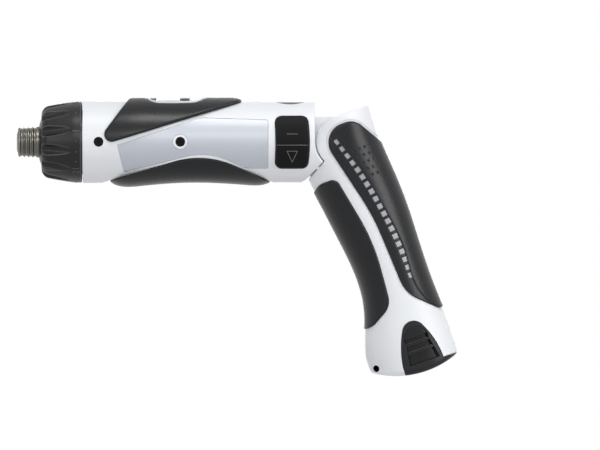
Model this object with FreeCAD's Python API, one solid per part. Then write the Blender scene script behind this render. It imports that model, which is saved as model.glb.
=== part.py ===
import FreeCAD
import Part

import math
import os

# Folding-handle electric screwdriver, drawn as its separate pieces, in millimetres.
# Frame: the origin is the mouth of the bit holder, +X runs back along the spindle, +Z is up and
# -Y is the side of the rocker switch. The handle is drawn straight, in line with the body, in its
# own coordinates (u along it from the pivot, w towards its back) and is then folded down.

# Clearances
RUN = 0.05
SEAT = 0.05
GAP = 0.35
GRIP_EDGE_GAP = 0.1

# Edge rounds
BODY_REAR_ROUND = 0.8
UPPER_GRIP_ROUND = 0.9
LOWER_GRIP_ROUND = 0.45
HANDLE_GRIP_ROUND = 0.7
HANDLE_HEAD_ROUND = 0.9
HANDLE_END_ROUND = 2.5

# Bit holder and spindle
SLEEVE_RADIUS = 7.5
SLEEVE_TAPER = 0.35
SLEEVE_SETBACK = 0.5
SLEEVE_LENGTH = 13.8
SLEEVE_TAIL = 2.0
SLEEVE_SPRING_ROOM = 1.15
SLEEVE_LAND_START = 8.0
SLEEVE_LAND_LENGTH = 3.9
RIDGE_COUNT = 4
RIDGE_PITCH = 2.05
RIDGE_FIRST = 1.45
RIDGE_CREST = 0.35
RIDGE_HEIGHT = 0.6
SPINDLE_RADIUS = 5.0
SPINDLE_CHAMFER = 0.45
HEX_FLATS = 6.45
HEX_DEPTH = 13.0
BALL_RADIUS = 1.05
BALL_X = 10.0
CLIP_X = 1.6
CLIP_THICKNESS = 0.8
SLEEVE_SPRING_WIRE = 0.35
SLEEVE_SPRING_TURNS = 4

# Clutch dial
DIAL_LENGTH = 19.4
DIAL_RADIUS = 19.5
DIAL_NOSE_RADIUS = 13.7
DIAL_LIP = 1.0
DIAL_FRONT_WALL = 2.4
DIAL_BORE = 14.0
DIAL_SKIRT = 3.0
SCOOP_COUNT = 12
SCOOP_RADIUS = 2.75
SCOOP_DEPTH = 3.3
SCOOP_LENGTH = 13.4
SCOOP_TURN = 12.6

# Clutch inside the dial
NUT_ROOM = 2.0
NUT_THICKNESS = 3.4
CLUTCH_SPRING_WIRE = 0.9
CLUTCH_SPRING_TURNS = 4
WASHER_THICKNESS = 1.5
PIN_COUNT = 6
PIN_RADIUS = 1.0

# Body shell
BODY_GAP = 0.5
SWITCH_SECTION = 41.7
BODY_RADIUS_FRONT = 19.65
BODY_RADIUS_REAR = 19.3
BODY_WALL = 2.3
BODY_FRONT_WALL = 2.2
BODY_END_WALL = 2.5
CHIN_ANGLE = 46.2
CHIN_RADIUS = 23.6
CHIN_ROUND = 4.6
CHIN_FILL = 4.0
CHIN_FILL_DROP = 13.2

# Body grips, panel and screws
GRIP_DEPTH = 1.4
TRAY_OFFSET = 30.3
TRAY_LENGTH = 28.0
TRAY_HALF_WIDTH = 9.0
TRAY_CORNER = 6.5
TRAY_SINK = 0.65
TRAY_RIM = 0.8
TRAY_RIM_RISE = 0.05
PANEL_ROOM = 3.2
PANEL_DEPTH = 0.5
PANEL_THICKNESS = 0.38
CASE_SCREW = 5.5
MOUNT_SCREW = 16.2
SCREW_HEAD_RADIUS = 2.25
SCREW_HEAD_HEIGHT = 1.0
SCREW_SINK = 1.5
SCREW_SHANK_RADIUS = 1.2
SCREW_LENGTH = 3.6
SCREW_RIM = 3.5

# Gear case and two planetary stages
CASE_GAP = 0.3
CASE_WALL = 1.15
CASE_FRONT_WALL = 3.0
CLUTCH_ROOM = 6.6
BUSH_WALL = 3.0
NOSE_WALL = 1.5
SPIGOT_WALL = 1.4
BUSH_LENGTH = 5.0
MODULE = 0.5
SUN_TEETH = 12
PLANET_TEETH = 18
RING_TEETH = 48
ADDENDUM = 0.4
DEDENDUM = 0.6
BACKLASH = 0.12
GEAR_WIDTH = 6.0
PLATE = 2.6
PLATE_RIM = 2.9
AXIAL_GAP = 0.4
PLANET_PIN_RADIUS = 1.2

# Motor
MOUNT_WALL = 3.0
MOUNT_LENGTH = 21.5
MOTOR_RADIUS = 13.8
MOTOR_LENGTH = 36.0
MOTOR_WALL = 1.0
MAGNET_THICKNESS = 2.2
MAGNET_LENGTH = 24.0
SHAFT_RADIUS = 1.15
ARMATURE_RADIUS = 9.9
ARMATURE_LENGTH = 18.0
COMMUTATOR_RADIUS = 3.4
COMMUTATOR_LENGTH = 5.0
END_CAP_LENGTH = 3.6

# Rocker, slider, button, switch and board
ROCKER_ROOM = 11.0
ROCKER_WIDTH = 16.4
ROCKER_TOP = 12.2
ROCKER_BOTTOM = -12.5
ROCKER_CORNER = 3.0
ROCKER_BOW = 1.1
ROCKER_PROUD = 0.8
ROCKER_ROUND = 0.5
ROCKER_THICKNESS = 4.2
ROCKER_AXIS_DEPTH = 4.9
ROCKER_WEB = 1.4
ROCKER_PIN_RADIUS = 1.2
ROCKER_PIN_LENGTH = 1.6
SLIDER_OFFSET = 2.0
SLIDER_LENGTH = 19.0
SLIDER_HALF_WIDTH = 5.4
SLIDER_PLATE = 0.7
SLIDER_RISE = 2.2
SLIDER_FRONT_RIB = 2.8
SLIDER_REAR_RIB = 4.7
SLIDER_STEM = 4.0
SLIDER_TRAVEL = 5.0
BUTTON_ROOM = 12.0
BUTTON_HALF_LENGTH = 7.2
BUTTON_HALF_WIDTH = 6.6
BUTTON_SINK = 0.15
BUTTON_FLANGE = 1.2
BUTTON_FLANGE_DROP = 2.6
BUTTON_FLANGE_THICKNESS = 1.3
BUTTON_TRAVEL_ROOM = 1.1
BOARD_ROOM = 31.0
BOARD_LENGTH = 27.0
BOARD_THICKNESS = 1.6
BOARD_POST_RADIUS = 2.2
SWITCH_DEPTH = 8.0
SWITCH_HALF_HEIGHT = 7.0
SWITCH_LENGTH = 15.0

# Fold: head, tongue, pin and detent
FOLD_ANGLE = 70.0
HEAD_RADIUS = 12.4
FOLD_GAP = 0.6
LOBE_GAP_ANGLE = 1.8
LIP_START = 17.9
LIP_END = 22.4
LIP_HALF = 6.0
LIP_ANGLE = 2.4
TONGUE_SHRINK = 0.4
TONGUE_HALF = 11.0
TONGUE_SIDE_GAP = 0.4
PIVOT_RADIUS = 4.5
PIVOT_BORE = 2.6
PIVOT_HALF_LENGTH = 15.0
DETENT_ANGLES = (0.0, 35.0, 70.0)
DETENT_BALL = 1.5
DETENT_BORE_DEPTH = 6.0
DETENT_WIRE = 0.25
DETENT_TURNS = 4

# Handle sections: place along the handle, front edge, back edge, half width
HEAD_SECTIONS = (
    (-16.0, -18.0, 17.6, 18.6),
    (0.0, -20.0, 17.2, 18.3),
    (14.0, -21.0, 17.6, 17.9),
    (25.0, -19.5, 18.3, 17.5),
    (38.0, -17.8, 18.6, 17.1),
    (58.0, -15.5, 17.9, 16.7),
)
END_SECTIONS = (
    (-41.7, -16.2, 17.5, 16.6),
    (-28.7, -20.2, 17.8, 16.8),
    (-14.7, -24.7, 18.1, 17.1),
    (3.3, -28.5, 17.4, 17.0),
)
HANDLE_END_ROOM = 17.9
HANDLE_WALL = 2.5
HANDLE_CAVITY_FRONT = 17.5
HANDLE_GRIP_PROUD = 0.8
HANDLE_GRIP_DEPTH = 1.2
FRONT_RIB = 46.0
REAR_RIB = 38.7
RIB_THICKNESS = 2.0
BULKHEAD_U = 21.0
BULKHEAD_THICKNESS = 2.5
LEAD_HOLE_RADIUS = 2.5
STRAP_INSET = 9.0
STRAP_W = -20.6
STRAP_RADIUS = 1.65
STRAP_SLANT = 8.0
INLAY_COUNT = 19
INLAY_SIZE = 2.5
INLAY_SHOW = 0.4
INLAY_BASE = 0.5
CREASE_OFFSET = 1.55
CREASE_STEP = 0.45
LEDGE_WIDTH = 0.9
LEDGE_DEPTH = 0.2
DIMPLE_U = 5.9
DIMPLE_W = 3.8
DIMPLE_RADIUS = 0.5
DIMPLE_DEPTH = 0.45
DIMPLE_ROWS = (3, 3, 3, 3, 2)
DIMPLE_PITCH = 2.75
DIMPLE_ROW_PITCH = 3.4
DIMPLE_ROW_SHIFT = 1.1

# Battery
BATTERY_W = 1.0
BATTERY_WALL = 1.4
BATTERY_LID = 1.6
CELL_RADIUS = 9.15
CELL_LENGTH = 65.0
CAP_GAP = 0.3
CONTACT_HALF_SPREAD = 4.0
CONTACT_THICKNESS = 0.4
TERMINAL_DEPTH = 5.0
BLADE_REACH = 3.7
BLADE_WIDTH = 3.0
BLADE_THICKNESS = 0.8
LATCH_GAP = 0.3
LATCH_SINK = 1.5
LATCH_FOOT = 4.6
LATCH_DOME = 17.4
LATCH_RIB_WIDTH = 1.3
LATCH_RIB_PITCH = 4.1
LATCH_RIB_COUNT = 2
LATCH_RIB_FIRST = 15.1
LATCH_BACK = 13.0
LATCH_TRAVEL = 1.5
LATCH_ROOM = 0.6

# Places that follow from the sizes above
DIAL_FRONT = SLEEVE_LENGTH - SLEEVE_TAIL
DIAL_REAR = DIAL_FRONT + DIAL_LENGTH
BODY_FRONT = DIAL_REAR + BODY_GAP
SLEEVE_CHAMBER_RADIUS = SPINDLE_RADIUS + SLEEVE_SPRING_ROOM
CLIP_RADIUS = SLEEVE_CHAMBER_RADIUS - 4 * RUN
NOSE_BORE = SPINDLE_RADIUS + BUSH_WALL
NOSE_RADIUS = NOSE_BORE + NOSE_WALL
NOSE_FRONT = DIAL_FRONT + DIAL_FRONT_WALL + AXIAL_GAP
NUT_FRONT = DIAL_FRONT + DIAL_FRONT_WALL + NUT_ROOM
WASHER_FRONT = DIAL_REAR - WASHER_THICKNESS / 1.5
CLUTCH_SPRING_RADIUS = (NOSE_RADIUS + DIAL_BORE) / 2.0
SPIGOT_RADIUS = DIAL_BORE + SPIGOT_WALL
SPIGOT_FRONT = DIAL_REAR - DIAL_SKIRT + AXIAL_GAP
CASE_FRONT = BODY_FRONT + BODY_FRONT_WALL
CASE_RADIUS = BODY_RADIUS_REAR - BODY_WALL - CASE_GAP
CASE_BORE = CASE_RADIUS - CASE_WALL
CENTRE_DISTANCE = MODULE * (SUN_TEETH + PLANET_TEETH) / 2.0
PLATE_RADIUS = CENTRE_DISTANCE + PLATE_RIM
PIN_CIRCLE = MODULE * RING_TEETH / 2.0 + DEDENDUM + PIN_RADIUS / 5.0
STAGE_FRONT = CASE_FRONT + CASE_FRONT_WALL + CLUTCH_ROOM
STAGE_2_GEARS = STAGE_FRONT + PLATE + AXIAL_GAP
CARRIER_1_FRONT = STAGE_2_GEARS + GEAR_WIDTH + AXIAL_GAP
STAGE_1_GEARS = CARRIER_1_FRONT + PLATE + AXIAL_GAP
CASE_REAR = STAGE_1_GEARS + GEAR_WIDTH + AXIAL_GAP
MOTOR_FRONT = CASE_REAR + MOUNT_WALL
MOTOR_REAR = MOTOR_FRONT + MOTOR_LENGTH
BODY_REAR = MOTOR_REAR + SWITCH_SECTION
BODY_LENGTH = BODY_REAR - BODY_FRONT
CAVITY_REAR = BODY_REAR - BODY_END_WALL
PIVOT_X = BODY_REAR + HEAD_RADIUS + FOLD_GAP
SCREW_X = (CASE_FRONT + CASE_SCREW, CASE_REAR + MOUNT_SCREW)
TRAY_FRONT = BODY_FRONT + TRAY_OFFSET
TRAY_FLOOR = BODY_RADIUS_FRONT - TRAY_SINK
SLIDER_FRONT = TRAY_FRONT + SLIDER_OFFSET
SLIDER_TOP = TRAY_FLOOR + SLIDER_RISE
ROCKER_X = BODY_REAR - ROCKER_ROOM
ROCKER_AXIS_Y = -(BODY_RADIUS_REAR - ROCKER_AXIS_DEPTH)
PANEL_REAR = ROCKER_X - ROCKER_WIDTH / 2.0 - PANEL_ROOM - BODY_FRONT
BUTTON_X = BODY_REAR - BUTTON_ROOM
BUTTON_FLANGE_TOP = BODY_RADIUS_REAR - BODY_WALL - BUTTON_FLANGE_DROP
BOARD_FRONT = BODY_REAR - BOARD_ROOM
BOARD_TOP = BUTTON_FLANGE_TOP - BUTTON_FLANGE_THICKNESS - BUTTON_TRAVEL_ROOM
BOARD_BOTTOM = -BOARD_TOP
BOARD_Y = ROCKER_AXIS_Y + ROCKER_WEB + GAP + SWITCH_DEPTH
TONGUE_RADIUS = HEAD_RADIUS - TONGUE_SHRINK
DETENT_CIRCLE = (PIVOT_RADIUS + TONGUE_RADIUS) / 2.0
DETENT_SHOW = TONGUE_SIDE_GAP - 2 * RUN
BATTERY_RADIUS = CELL_RADIUS + SEAT + BATTERY_WALL
BATTERY_TOP = BULKHEAD_U + BULKHEAD_THICKNESS + TERMINAL_DEPTH + BLADE_REACH
LATCH_FLOOR = LATCH_BACK - LATCH_TRAVEL - LATCH_ROOM
HANDLE_LENGTH = BATTERY_TOP + BATTERY_LID + CELL_LENGTH + HANDLE_END_ROOM
STRAP_U = HANDLE_LENGTH - STRAP_INSET
FAR = 60.0


# Small drawing helpers
def vec(x, y, z):
    return FreeCAD.Vector(x, y, z)


def side_face(start, *steps):
    """Closed face in the side view (x, z): a pair is a line's end, two pairs an arc's middle and end."""
    here = vec(start[0], 0, start[1])
    first = here
    edges = []
    for step in steps:
        if isinstance(step[0], tuple):
            middle = vec(step[0][0], 0, step[0][1])
            end = vec(step[1][0], 0, step[1][1])
            edges.append(Part.Arc(here, middle, end).toShape())
        else:
            end = vec(step[0], 0, step[1])
            edges.append(Part.makeLine(here, end))
        here = end
    if here.distanceToPoint(first) > 1e-6:
        edges.append(Part.makeLine(here, first))
    return Part.Face(Part.Wire(edges))


def rounded_face(*corners):
    """Closed side-view face through corners (x, z, radius)."""
    count = len(corners)
    steps = []
    for index in range(count):
        x, z, radius = corners[index]
        corner = vec(x, 0, z)
        before = vec(corners[index - 1][0], 0, corners[index - 1][1])
        after_x, after_z = corners[(index + 1) % count][:2]
        after = vec(after_x, 0, after_z)
        if radius == 0:
            steps.append((x, z))
            continue
        to_before = (before - corner).normalize()
        to_after = (after - corner).normalize()
        half = to_before.getAngle(to_after) / 2.0
        middle_way = (to_before + to_after).normalize()
        start = corner + to_before * (radius / math.tan(half))
        end = corner + to_after * (radius / math.tan(half))
        middle = corner + middle_way * (radius / math.sin(half) - radius)
        steps.append((start.x, start.z))
        steps.append(((middle.x, middle.z), (end.x, end.z)))
    return side_face(steps[0], *steps[1:])


def across(face, y_from, y_to):
    """A side-view face drawn out across the tool from one y to another."""
    moved = face.copy()
    moved.translate(vec(0, y_from, 0))
    return moved.extrude(vec(0, y_to - y_from, 0))


def block(x0, x1, y0, y1, z0, z1):
    return Part.makeBox(x1 - x0, y1 - y0, z1 - z0, vec(x0, y0, z0))


def x_cylinder(radius, x0, x1, y=0.0, z=0.0):
    return Part.makeCylinder(radius, x1 - x0, vec(x0, y, z), vec(1, 0, 0))


def x_tube(outer, inner, x0, x1, y=0.0, z=0.0):
    return x_cylinder(outer, x0, x1, y, z).cut(x_cylinder(inner, x0, x1, y, z))


def y_cylinder(radius, y0, y1, x, z):
    return Part.makeCylinder(radius, y1 - y0, vec(x, y0, z), vec(0, 1, 0))


def turned(face, angle=360.0):
    """A side-view face turned about the X axis, through -Y first."""
    return face.revolve(vec(0, 0, 0), vec(1, 0, 0), angle)


def mirrored(shape):
    return shape.mirror(vec(0, 0, 0), vec(0, 1, 0))


def turned_copies(shape, count, start=0.0):
    """Copies of a shape at equal angles about the X axis."""
    copies = []
    for index in range(count):
        copy = shape.copy()
        copy.rotate(vec(0, 0, 0), vec(1, 0, 0), start + index * 360.0 / count)
        copies.append(copy)
    return copies


def middle_of(edge):
    return edge.valueAt((edge.FirstParameter + edge.LastParameter) / 2.0)


def round_edges(shape, radius, chosen):
    """Rounds the edges off the parting plane whose middle points are chosen."""
    edges = [edge for edge in shape.Edges if middle_of(edge).y < -0.01 and chosen(middle_of(edge))]
    return shape.makeFillet(radius, edges)


def coil(mean_radius, wire_radius, turns, x0, x1):
    """A compression spring along X between two faces, its turns made of quarter arcs."""
    quarters = turns * 4
    rise = (x1 - x0 - 2 * wire_radius) / quarters

    def place(step):
        angle = step * math.pi / 2.0
        y = mean_radius * math.cos(angle)
        z = mean_radius * math.sin(angle)
        return vec(x0 + wire_radius + rise * step, y, z)

    edges = []
    for step in range(quarters):
        edges.append(Part.Arc(place(step), place(step + 0.5), place(step + 1)).toShape())
    path = Part.Wire(edges)
    ring = Part.Wire(Part.makeCircle(wire_radius, place(0), edges[0].tangentAt(edges[0].FirstParameter)))
    return path.makePipeShell([ring], True, False)


def to_rest(shape):
    """Takes a handle piece from its straight drawing to the folded rest position."""
    moved = shape.copy()
    moved.rotate(vec(0, 0, 0), vec(0, 1, 0), FOLD_ANGLE)
    moved.translate(vec(PIVOT_X, 0, 0))
    return moved


# Body shell outer form
def body_radius(x):
    share = (x - BODY_FRONT) / BODY_LENGTH
    return BODY_RADIUS_FRONT + (BODY_RADIUS_REAR - BODY_RADIUS_FRONT) * share


def body_half(offset, x0, x1):
    """Left half of the body's tapered round form, grown by an offset."""
    face = side_face((x0, 0), (x0, body_radius(x0) + offset), (x1, body_radius(x1) + offset), (x1, 0))
    return turned(face, 180.0)


def about_pivot(radius, angle):
    """Point at an angle below the pivot's forward level line."""
    turn = math.radians(180.0 + angle)
    return (PIVOT_X + radius * math.cos(turn), radius * math.sin(turn))


def body_rear_face():
    arc_radius = HEAD_RADIUS + FOLD_GAP
    chin_low = about_pivot(CHIN_RADIUS, CHIN_ANGLE)
    chin_middle = (chin_low[0] - 0.48 * CHIN_ROUND, chin_low[1] - 0.38 * CHIN_ROUND)
    floor = -body_radius(BODY_REAR) - CHIN_ROUND * 0.1
    return side_face(
        (BODY_FRONT, FAR),
        (BODY_REAR, FAR),
        (BODY_REAR, 0),
        (about_pivot(arc_radius, CHIN_ANGLE / 2.0), about_pivot(arc_radius, CHIN_ANGLE)),
        chin_low,
        (chin_middle, (chin_low[0] - CHIN_ROUND, floor)),
        (chin_low[0] - CHIN_ROUND, -FAR),
        (BODY_FRONT, -FAR),
    )


def chin_pocket():
    """Room in the chin for the lip of the handle's lobe."""
    inner = LIP_START - GAP
    outer = LIP_END + GAP
    deep = CHIN_ANGLE - LIP_ANGLE - math.degrees(GAP / inner)
    face = side_face(
        about_pivot(inner, CHIN_ANGLE + LOBE_GAP_ANGLE),
        about_pivot(outer, CHIN_ANGLE + LOBE_GAP_ANGLE),
        about_pivot(outer, deep),
        about_pivot(inner, deep),
    )
    return across(face, -LIP_HALF - GAP, 0)


# Side outlines on the body, measured from its front edge
def on_body(face, inset):
    placed = face.makeOffset2D(-inset) if inset else face
    placed.translate(vec(BODY_FRONT, 0, 0))
    return placed


def upper_grip_face(inset=0.0):
    rear = BODY_LENGTH - 19.0
    return on_body(rounded_face((24.3, 24.0, 0), (4.6, -3.2, 3.7), (rear, 24.0, 0)), inset)


def lower_grip_face(inset=0.0):
    rear = BODY_LENGTH - 4.4
    return on_body(rounded_face((-13.4, -26.0, 0), (58.3, -5.1, 42.0), (rear, -26.0, 0)), inset)


def panel_face(inset=0.0):
    face = rounded_face(
        (16.6, -1.5, 0.8),
        (56.3, 11.6, 8.0),
        (PANEL_REAR, 10.6, 1.2),
        (PANEL_REAR, -12.7, 1.2),
        (PANEL_REAR - 10.6, -12.7, 6.0),
        (59.3, -4.6, 30.0),
        (19.9, -14.6, 0.8),
    )
    return on_body(face, inset)


def grip_form(contour, grow=0.0):
    """Left half of a grip's outer form: its height over the body, smooth along the tool."""
    points = [vec(BODY_FRONT + x, 0, BODY_RADIUS_FRONT + height + grow) for x, height in contour]
    curve = Part.BSplineCurve()
    curve.interpolate(points)
    first = vec(points[0].x, 0, 0)
    last = vec(points[-1].x, 0, 0)
    edges = [
        Part.makeLine(first, points[0]),
        curve.toShape(),
        Part.makeLine(points[-1], last),
        Part.makeLine(last, first),
    ]
    return turned(Part.Face(Part.Wire(edges)), 180.0)


def upper_grip_form(grow=0.0):
    rise = [(8.3, 0.55), (16.3, 1.25), (24.3, 1.75), (40.3, 1.55), (60.3, 1.85)]
    rear = BODY_LENGTH
    fall = [(rear - 42.0, 1.85), (rear - 36.3, 1.25), (rear - 33.4, -0.85)]
    return grip_form(rise + fall, grow)


def lower_grip_form():
    rear = BODY_LENGTH
    front = [(12.6, -1.05), (14.9, 0.65), (19.8, 1.85), (28.3, 1.45), (40.3, 0.35), (55.3, -0.15)]
    back = [(rear - 44.0, 0.25), (rear - 34.0, 0.95), (rear - 24.0, 0.65), (rear - 20.4, -1.05)]
    return grip_form(front + back)


def tray_prism(inset=0.0):
    """Upright prism of the slider's recess in the top of the body."""
    rear = TRAY_FRONT + TRAY_LENGTH
    face = rounded_face(
        (TRAY_FRONT + inset, -TRAY_HALF_WIDTH + inset, TRAY_CORNER - inset),
        (TRAY_FRONT + inset, TRAY_HALF_WIDTH - inset, TRAY_CORNER - inset),
        (rear - inset, TRAY_HALF_WIDTH - inset, TRAY_CORNER - inset),
        (rear - inset, -TRAY_HALF_WIDTH + inset, TRAY_CORNER - inset),
    )
    face.rotate(vec(0, 0, 0), vec(1, 0, 0), 90.0)
    face.translate(vec(0, 0, 10.0))
    return face.extrude(vec(0, 0, FAR))


def button_prism(grow, z0, z1):
    ellipse = Part.Ellipse(vec(BUTTON_X, 0, z0), BUTTON_HALF_LENGTH + grow, BUTTON_HALF_WIDTH + grow)
    return Part.Face(Part.Wire(ellipse.toShape())).extrude(vec(0, 0, z1 - z0))


def rocker_prism(grow=0.0, depth=0.0):
    """Side outline of the rocker, both long sides bowed to the rear, carried across the left half."""
    front = ROCKER_X - ROCKER_WIDTH / 2.0 - grow
    rear = ROCKER_X + ROCKER_WIDTH / 2.0 - ROCKER_BOW + grow
    top = ROCKER_TOP + grow
    bottom = ROCKER_BOTTOM - grow
    middle = (top + bottom) / 2.0
    face = side_face(
        (front, top),
        (rear, top),
        ((rear + ROCKER_BOW, middle), (rear, bottom)),
        (front, bottom),
        ((front + ROCKER_BOW / 2.0, middle), (front, top)),
    )
    prism = across(face, -FAR, depth)
    corners = [edge for edge in prism.Edges if edge.BoundBox.YLength > FAR / 2.0]
    return prism.makeFillet(ROCKER_CORNER + grow, corners)


def screw_holes(grow_head, grow_shank):
    """Left-side recesses and holes of the body screws."""
    tools = []
    for x in SCREW_X:
        seat = -(body_radius(x) - SCREW_SINK)
        tools.append(y_cylinder(SCREW_HEAD_RADIUS + grow_head, -FAR, seat, x, 0))
        tools.append(y_cylinder(SCREW_SHANK_RADIUS + grow_shank, seat, seat + SCREW_LENGTH + SEAT, x, 0))
    return tools


def tongue_half():
    bar = block(CAVITY_REAR - 1.0, PIVOT_X, -TONGUE_HALF, 0, -TONGUE_RADIUS, TONGUE_RADIUS)
    tongue = bar.fuse(y_cylinder(TONGUE_RADIUS, -TONGUE_HALF, 0, PIVOT_X, 0))
    tongue = tongue.cut(y_cylinder(PIVOT_RADIUS + RUN, -TONGUE_HALF, 0, PIVOT_X, 0))
    detent = y_cylinder(DETENT_BALL + RUN, -TONGUE_HALF, -TONGUE_HALF + DETENT_BORE_DEPTH, *detent_place())
    leads = x_cylinder(LEAD_HOLE_RADIUS, CAVITY_REAR - 2.0, PIVOT_X)
    return tongue.cut([detent, leads])


def detent_place():
    """Side-view place of the detent ball in the body's tongue."""
    return (PIVOT_X - DETENT_CIRCLE, 0.0)


def body_shell_half():
    outer = body_half(0.0, BODY_FRONT, BODY_REAR + HEAD_RADIUS)
    shell = outer.common(across(body_rear_face(), -FAR, 0))
    shell = round_edges(shell, BODY_REAR_ROUND, lambda point: point.x > BODY_REAR - CHIN_ROUND)
    cavity = body_half(-BODY_WALL, CASE_FRONT, CAVITY_REAR)
    cavity = cavity.cut(block(CAVITY_REAR - CHIN_FILL, CAVITY_REAR, -FAR, 0, -FAR, -CHIN_FILL_DROP))
    mouth = x_cylinder(SPIGOT_RADIUS + GAP, BODY_FRONT - 1.0, CASE_FRONT + 1.0)
    shell = shell.cut([cavity, mouth, chin_pocket()])
    shell = shell.fuse(tongue_half())
    under_grip = body_half(-GRIP_DEPTH, BODY_FRONT, BODY_REAR)
    upper = across(upper_grip_face(), -FAR, 0).cut(under_grip)
    lower = across(lower_grip_face(), -FAR, 0).cut(under_grip)
    shell = shell.cut([upper.cut(tray_prism()), lower])
    rim = upper_grip_form(TRAY_RIM_RISE).common(tray_prism(GRIP_EDGE_GAP).cut(tray_prism(TRAY_RIM)))
    shell = shell.fuse(rim.cut(body_half(-GRIP_DEPTH, BODY_FRONT, BODY_REAR)))
    flat = tray_prism(TRAY_RIM).common(block(BODY_FRONT, BODY_REAR, -FAR, 0, TRAY_FLOOR, FAR))
    slot = block(
        SLIDER_FRONT + SLIDER_STEM - GAP,
        SLIDER_FRONT + 2 * SLIDER_STEM + SLIDER_TRAVEL + GAP,
        -SLIDER_STEM / 2.0 - GAP,
        0,
        CASE_RADIUS,
        FAR,
    )
    button = button_prism(GAP, 0.0, FAR)
    button = button.common(block(0, FAR * 3, -FAR, 0, 0, FAR))
    return shell.cut([flat, slot, button] + screw_holes(SEAT * 2, SEAT * 2))


def body_shell_left():
    shell = body_shell_half()
    recess = across(panel_face(), -FAR, 0).cut(body_half(-PANEL_DEPTH, BODY_FRONT, BODY_REAR))
    recess = recess.cut(y_cylinder(SCREW_RIM, -FAR, 0, SCREW_X[1], 0))
    window = rocker_prism(GAP, ROCKER_AXIS_Y + 6.0)
    shell = shell.cut([recess, window])
    lug_front = ROCKER_X - ROCKER_WIDTH / 2.0 - GAP
    lug = block(lug_front - 2.0, lug_front, -body_radius(lug_front) + 0.6, ROCKER_AXIS_Y + 2.6, -3.0, 3.0)
    shell = shell.fuse(lug)
    half = ROCKER_WIDTH / 2.0 + ROCKER_PIN_LENGTH + GAP
    bearing = x_cylinder(ROCKER_PIN_RADIUS + RUN, ROCKER_X - half, ROCKER_X + half, ROCKER_AXIS_Y, 0)
    return shell.cut(bearing)


def body_shell_right():
    shell = mirrored(body_shell_half())
    reach = body_radius(BOARD_FRONT) - BODY_WALL / 2.0
    for z in (BOARD_TOP - 4.0, BOARD_BOTTOM + 4.0):
        side = math.sqrt(reach ** 2 - z ** 2)
        post = y_cylinder(BOARD_POST_RADIUS, BOARD_Y + BOARD_THICKNESS, side, BOARD_FRONT + 3.5, z)
        shell = shell.fuse(post)
    return shell


def is_outer(point):
    """Whether a point of a body grip lies at or above the shell's surface."""
    return math.hypot(point.y, point.z) > body_radius(point.x) - 0.3


def body_grip_upper():
    form = upper_grip_form().cut(body_half(SEAT - GRIP_DEPTH, BODY_FRONT, BODY_REAR))
    grip = form.common(across(upper_grip_face(GRIP_EDGE_GAP), -FAR, 0))
    return round_edges(grip.cut(tray_prism()), UPPER_GRIP_ROUND, is_outer)


def body_grip_lower():
    form = lower_grip_form().cut(body_half(SEAT - GRIP_DEPTH, BODY_FRONT, BODY_REAR))
    grip = form.common(across(lower_grip_face(GRIP_EDGE_GAP), -FAR, 0))
    return round_edges(grip, LOWER_GRIP_ROUND, is_outer)


def side_panel():
    sheet = body_half(PANEL_THICKNESS - PANEL_DEPTH, BODY_FRONT, BODY_REAR)
    sheet = sheet.cut(body_half(SEAT / 2.0 - PANEL_DEPTH, BODY_FRONT, BODY_REAR))
    sheet = sheet.common(across(panel_face(GRIP_EDGE_GAP), -FAR, 0))
    return sheet.cut(y_cylinder(SCREW_RIM + GRIP_EDGE_GAP, -FAR, 0, SCREW_X[1], 0))


def body_screws():
    screws = []
    for x in SCREW_X:
        seat = -(body_radius(x) - SCREW_SINK)
        head = y_cylinder(SCREW_HEAD_RADIUS, seat - SCREW_HEAD_HEIGHT, seat, x, 0)
        screw = head.fuse(y_cylinder(SCREW_SHANK_RADIUS, seat, seat + SCREW_LENGTH, x, 0))
        screws.append(screw)
        screws.append(mirrored(screw))
    return Part.Compound(screws)


# Bit holder and spindle
def crest_radius(index):
    """Radius of a ridge of the sleeve, which widens evenly up to its collar."""
    return SLEEVE_RADIUS - SLEEVE_TAPER * (1.0 - index / RIDGE_COUNT)


def chuck_sleeve():
    """Sleeve with pointed ridges between round grooves, then a plain collar."""
    half = RIDGE_CREST / 2.0
    mouth = SLEEVE_CHAMBER_RADIUS + SLEEVE_TAPER / 2.0
    shoulder = (SLEEVE_SETBACK + 0.25, 0.35 * mouth + 0.65 * crest_radius(0))
    steps = [(SLEEVE_SETBACK, mouth), (shoulder, (RIDGE_FIRST - half, crest_radius(0)))]
    for index in range(RIDGE_COUNT):
        x = RIDGE_FIRST + index * RIDGE_PITCH
        bottom = crest_radius(index + 0.5) - RIDGE_HEIGHT
        steps.append((x + half, crest_radius(index)))
        steps.append(((x + RIDGE_PITCH / 2.0, bottom), (x + RIDGE_PITCH - half, crest_radius(index + 1))))
    land_end = SLEEVE_LAND_START + SLEEVE_LAND_LENGTH
    steps.append((SLEEVE_LENGTH, SLEEVE_RADIUS))
    steps.append((SLEEVE_LENGTH, SLEEVE_CHAMBER_RADIUS))
    steps.append((land_end, SLEEVE_CHAMBER_RADIUS))
    steps.append((land_end, SPINDLE_RADIUS + 2 * RUN))
    steps.append((SLEEVE_LAND_START, SPINDLE_RADIUS + 2 * RUN))
    steps.append((SLEEVE_LAND_START, SLEEVE_CHAMBER_RADIUS))
    steps.append((SLEEVE_SETBACK, SLEEVE_CHAMBER_RADIUS))
    return turned(side_face(steps[0], *steps[1:]))


def hexagon(flats, x0, x1):
    points = []
    for index in range(7):
        angle = math.radians(60.0 * index + 90.0)
        radius = flats / math.sqrt(3.0)
        points.append(vec(x0, radius * math.cos(angle), radius * math.sin(angle)))
    return Part.Face(Part.makePolygon(points)).extrude(vec(x1 - x0, 0, 0))


def ball_centres():
    reach = SPINDLE_RADIUS - BALL_RADIUS
    return [vec(BALL_X, 0, reach), vec(BALL_X, 0, -reach)]


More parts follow.
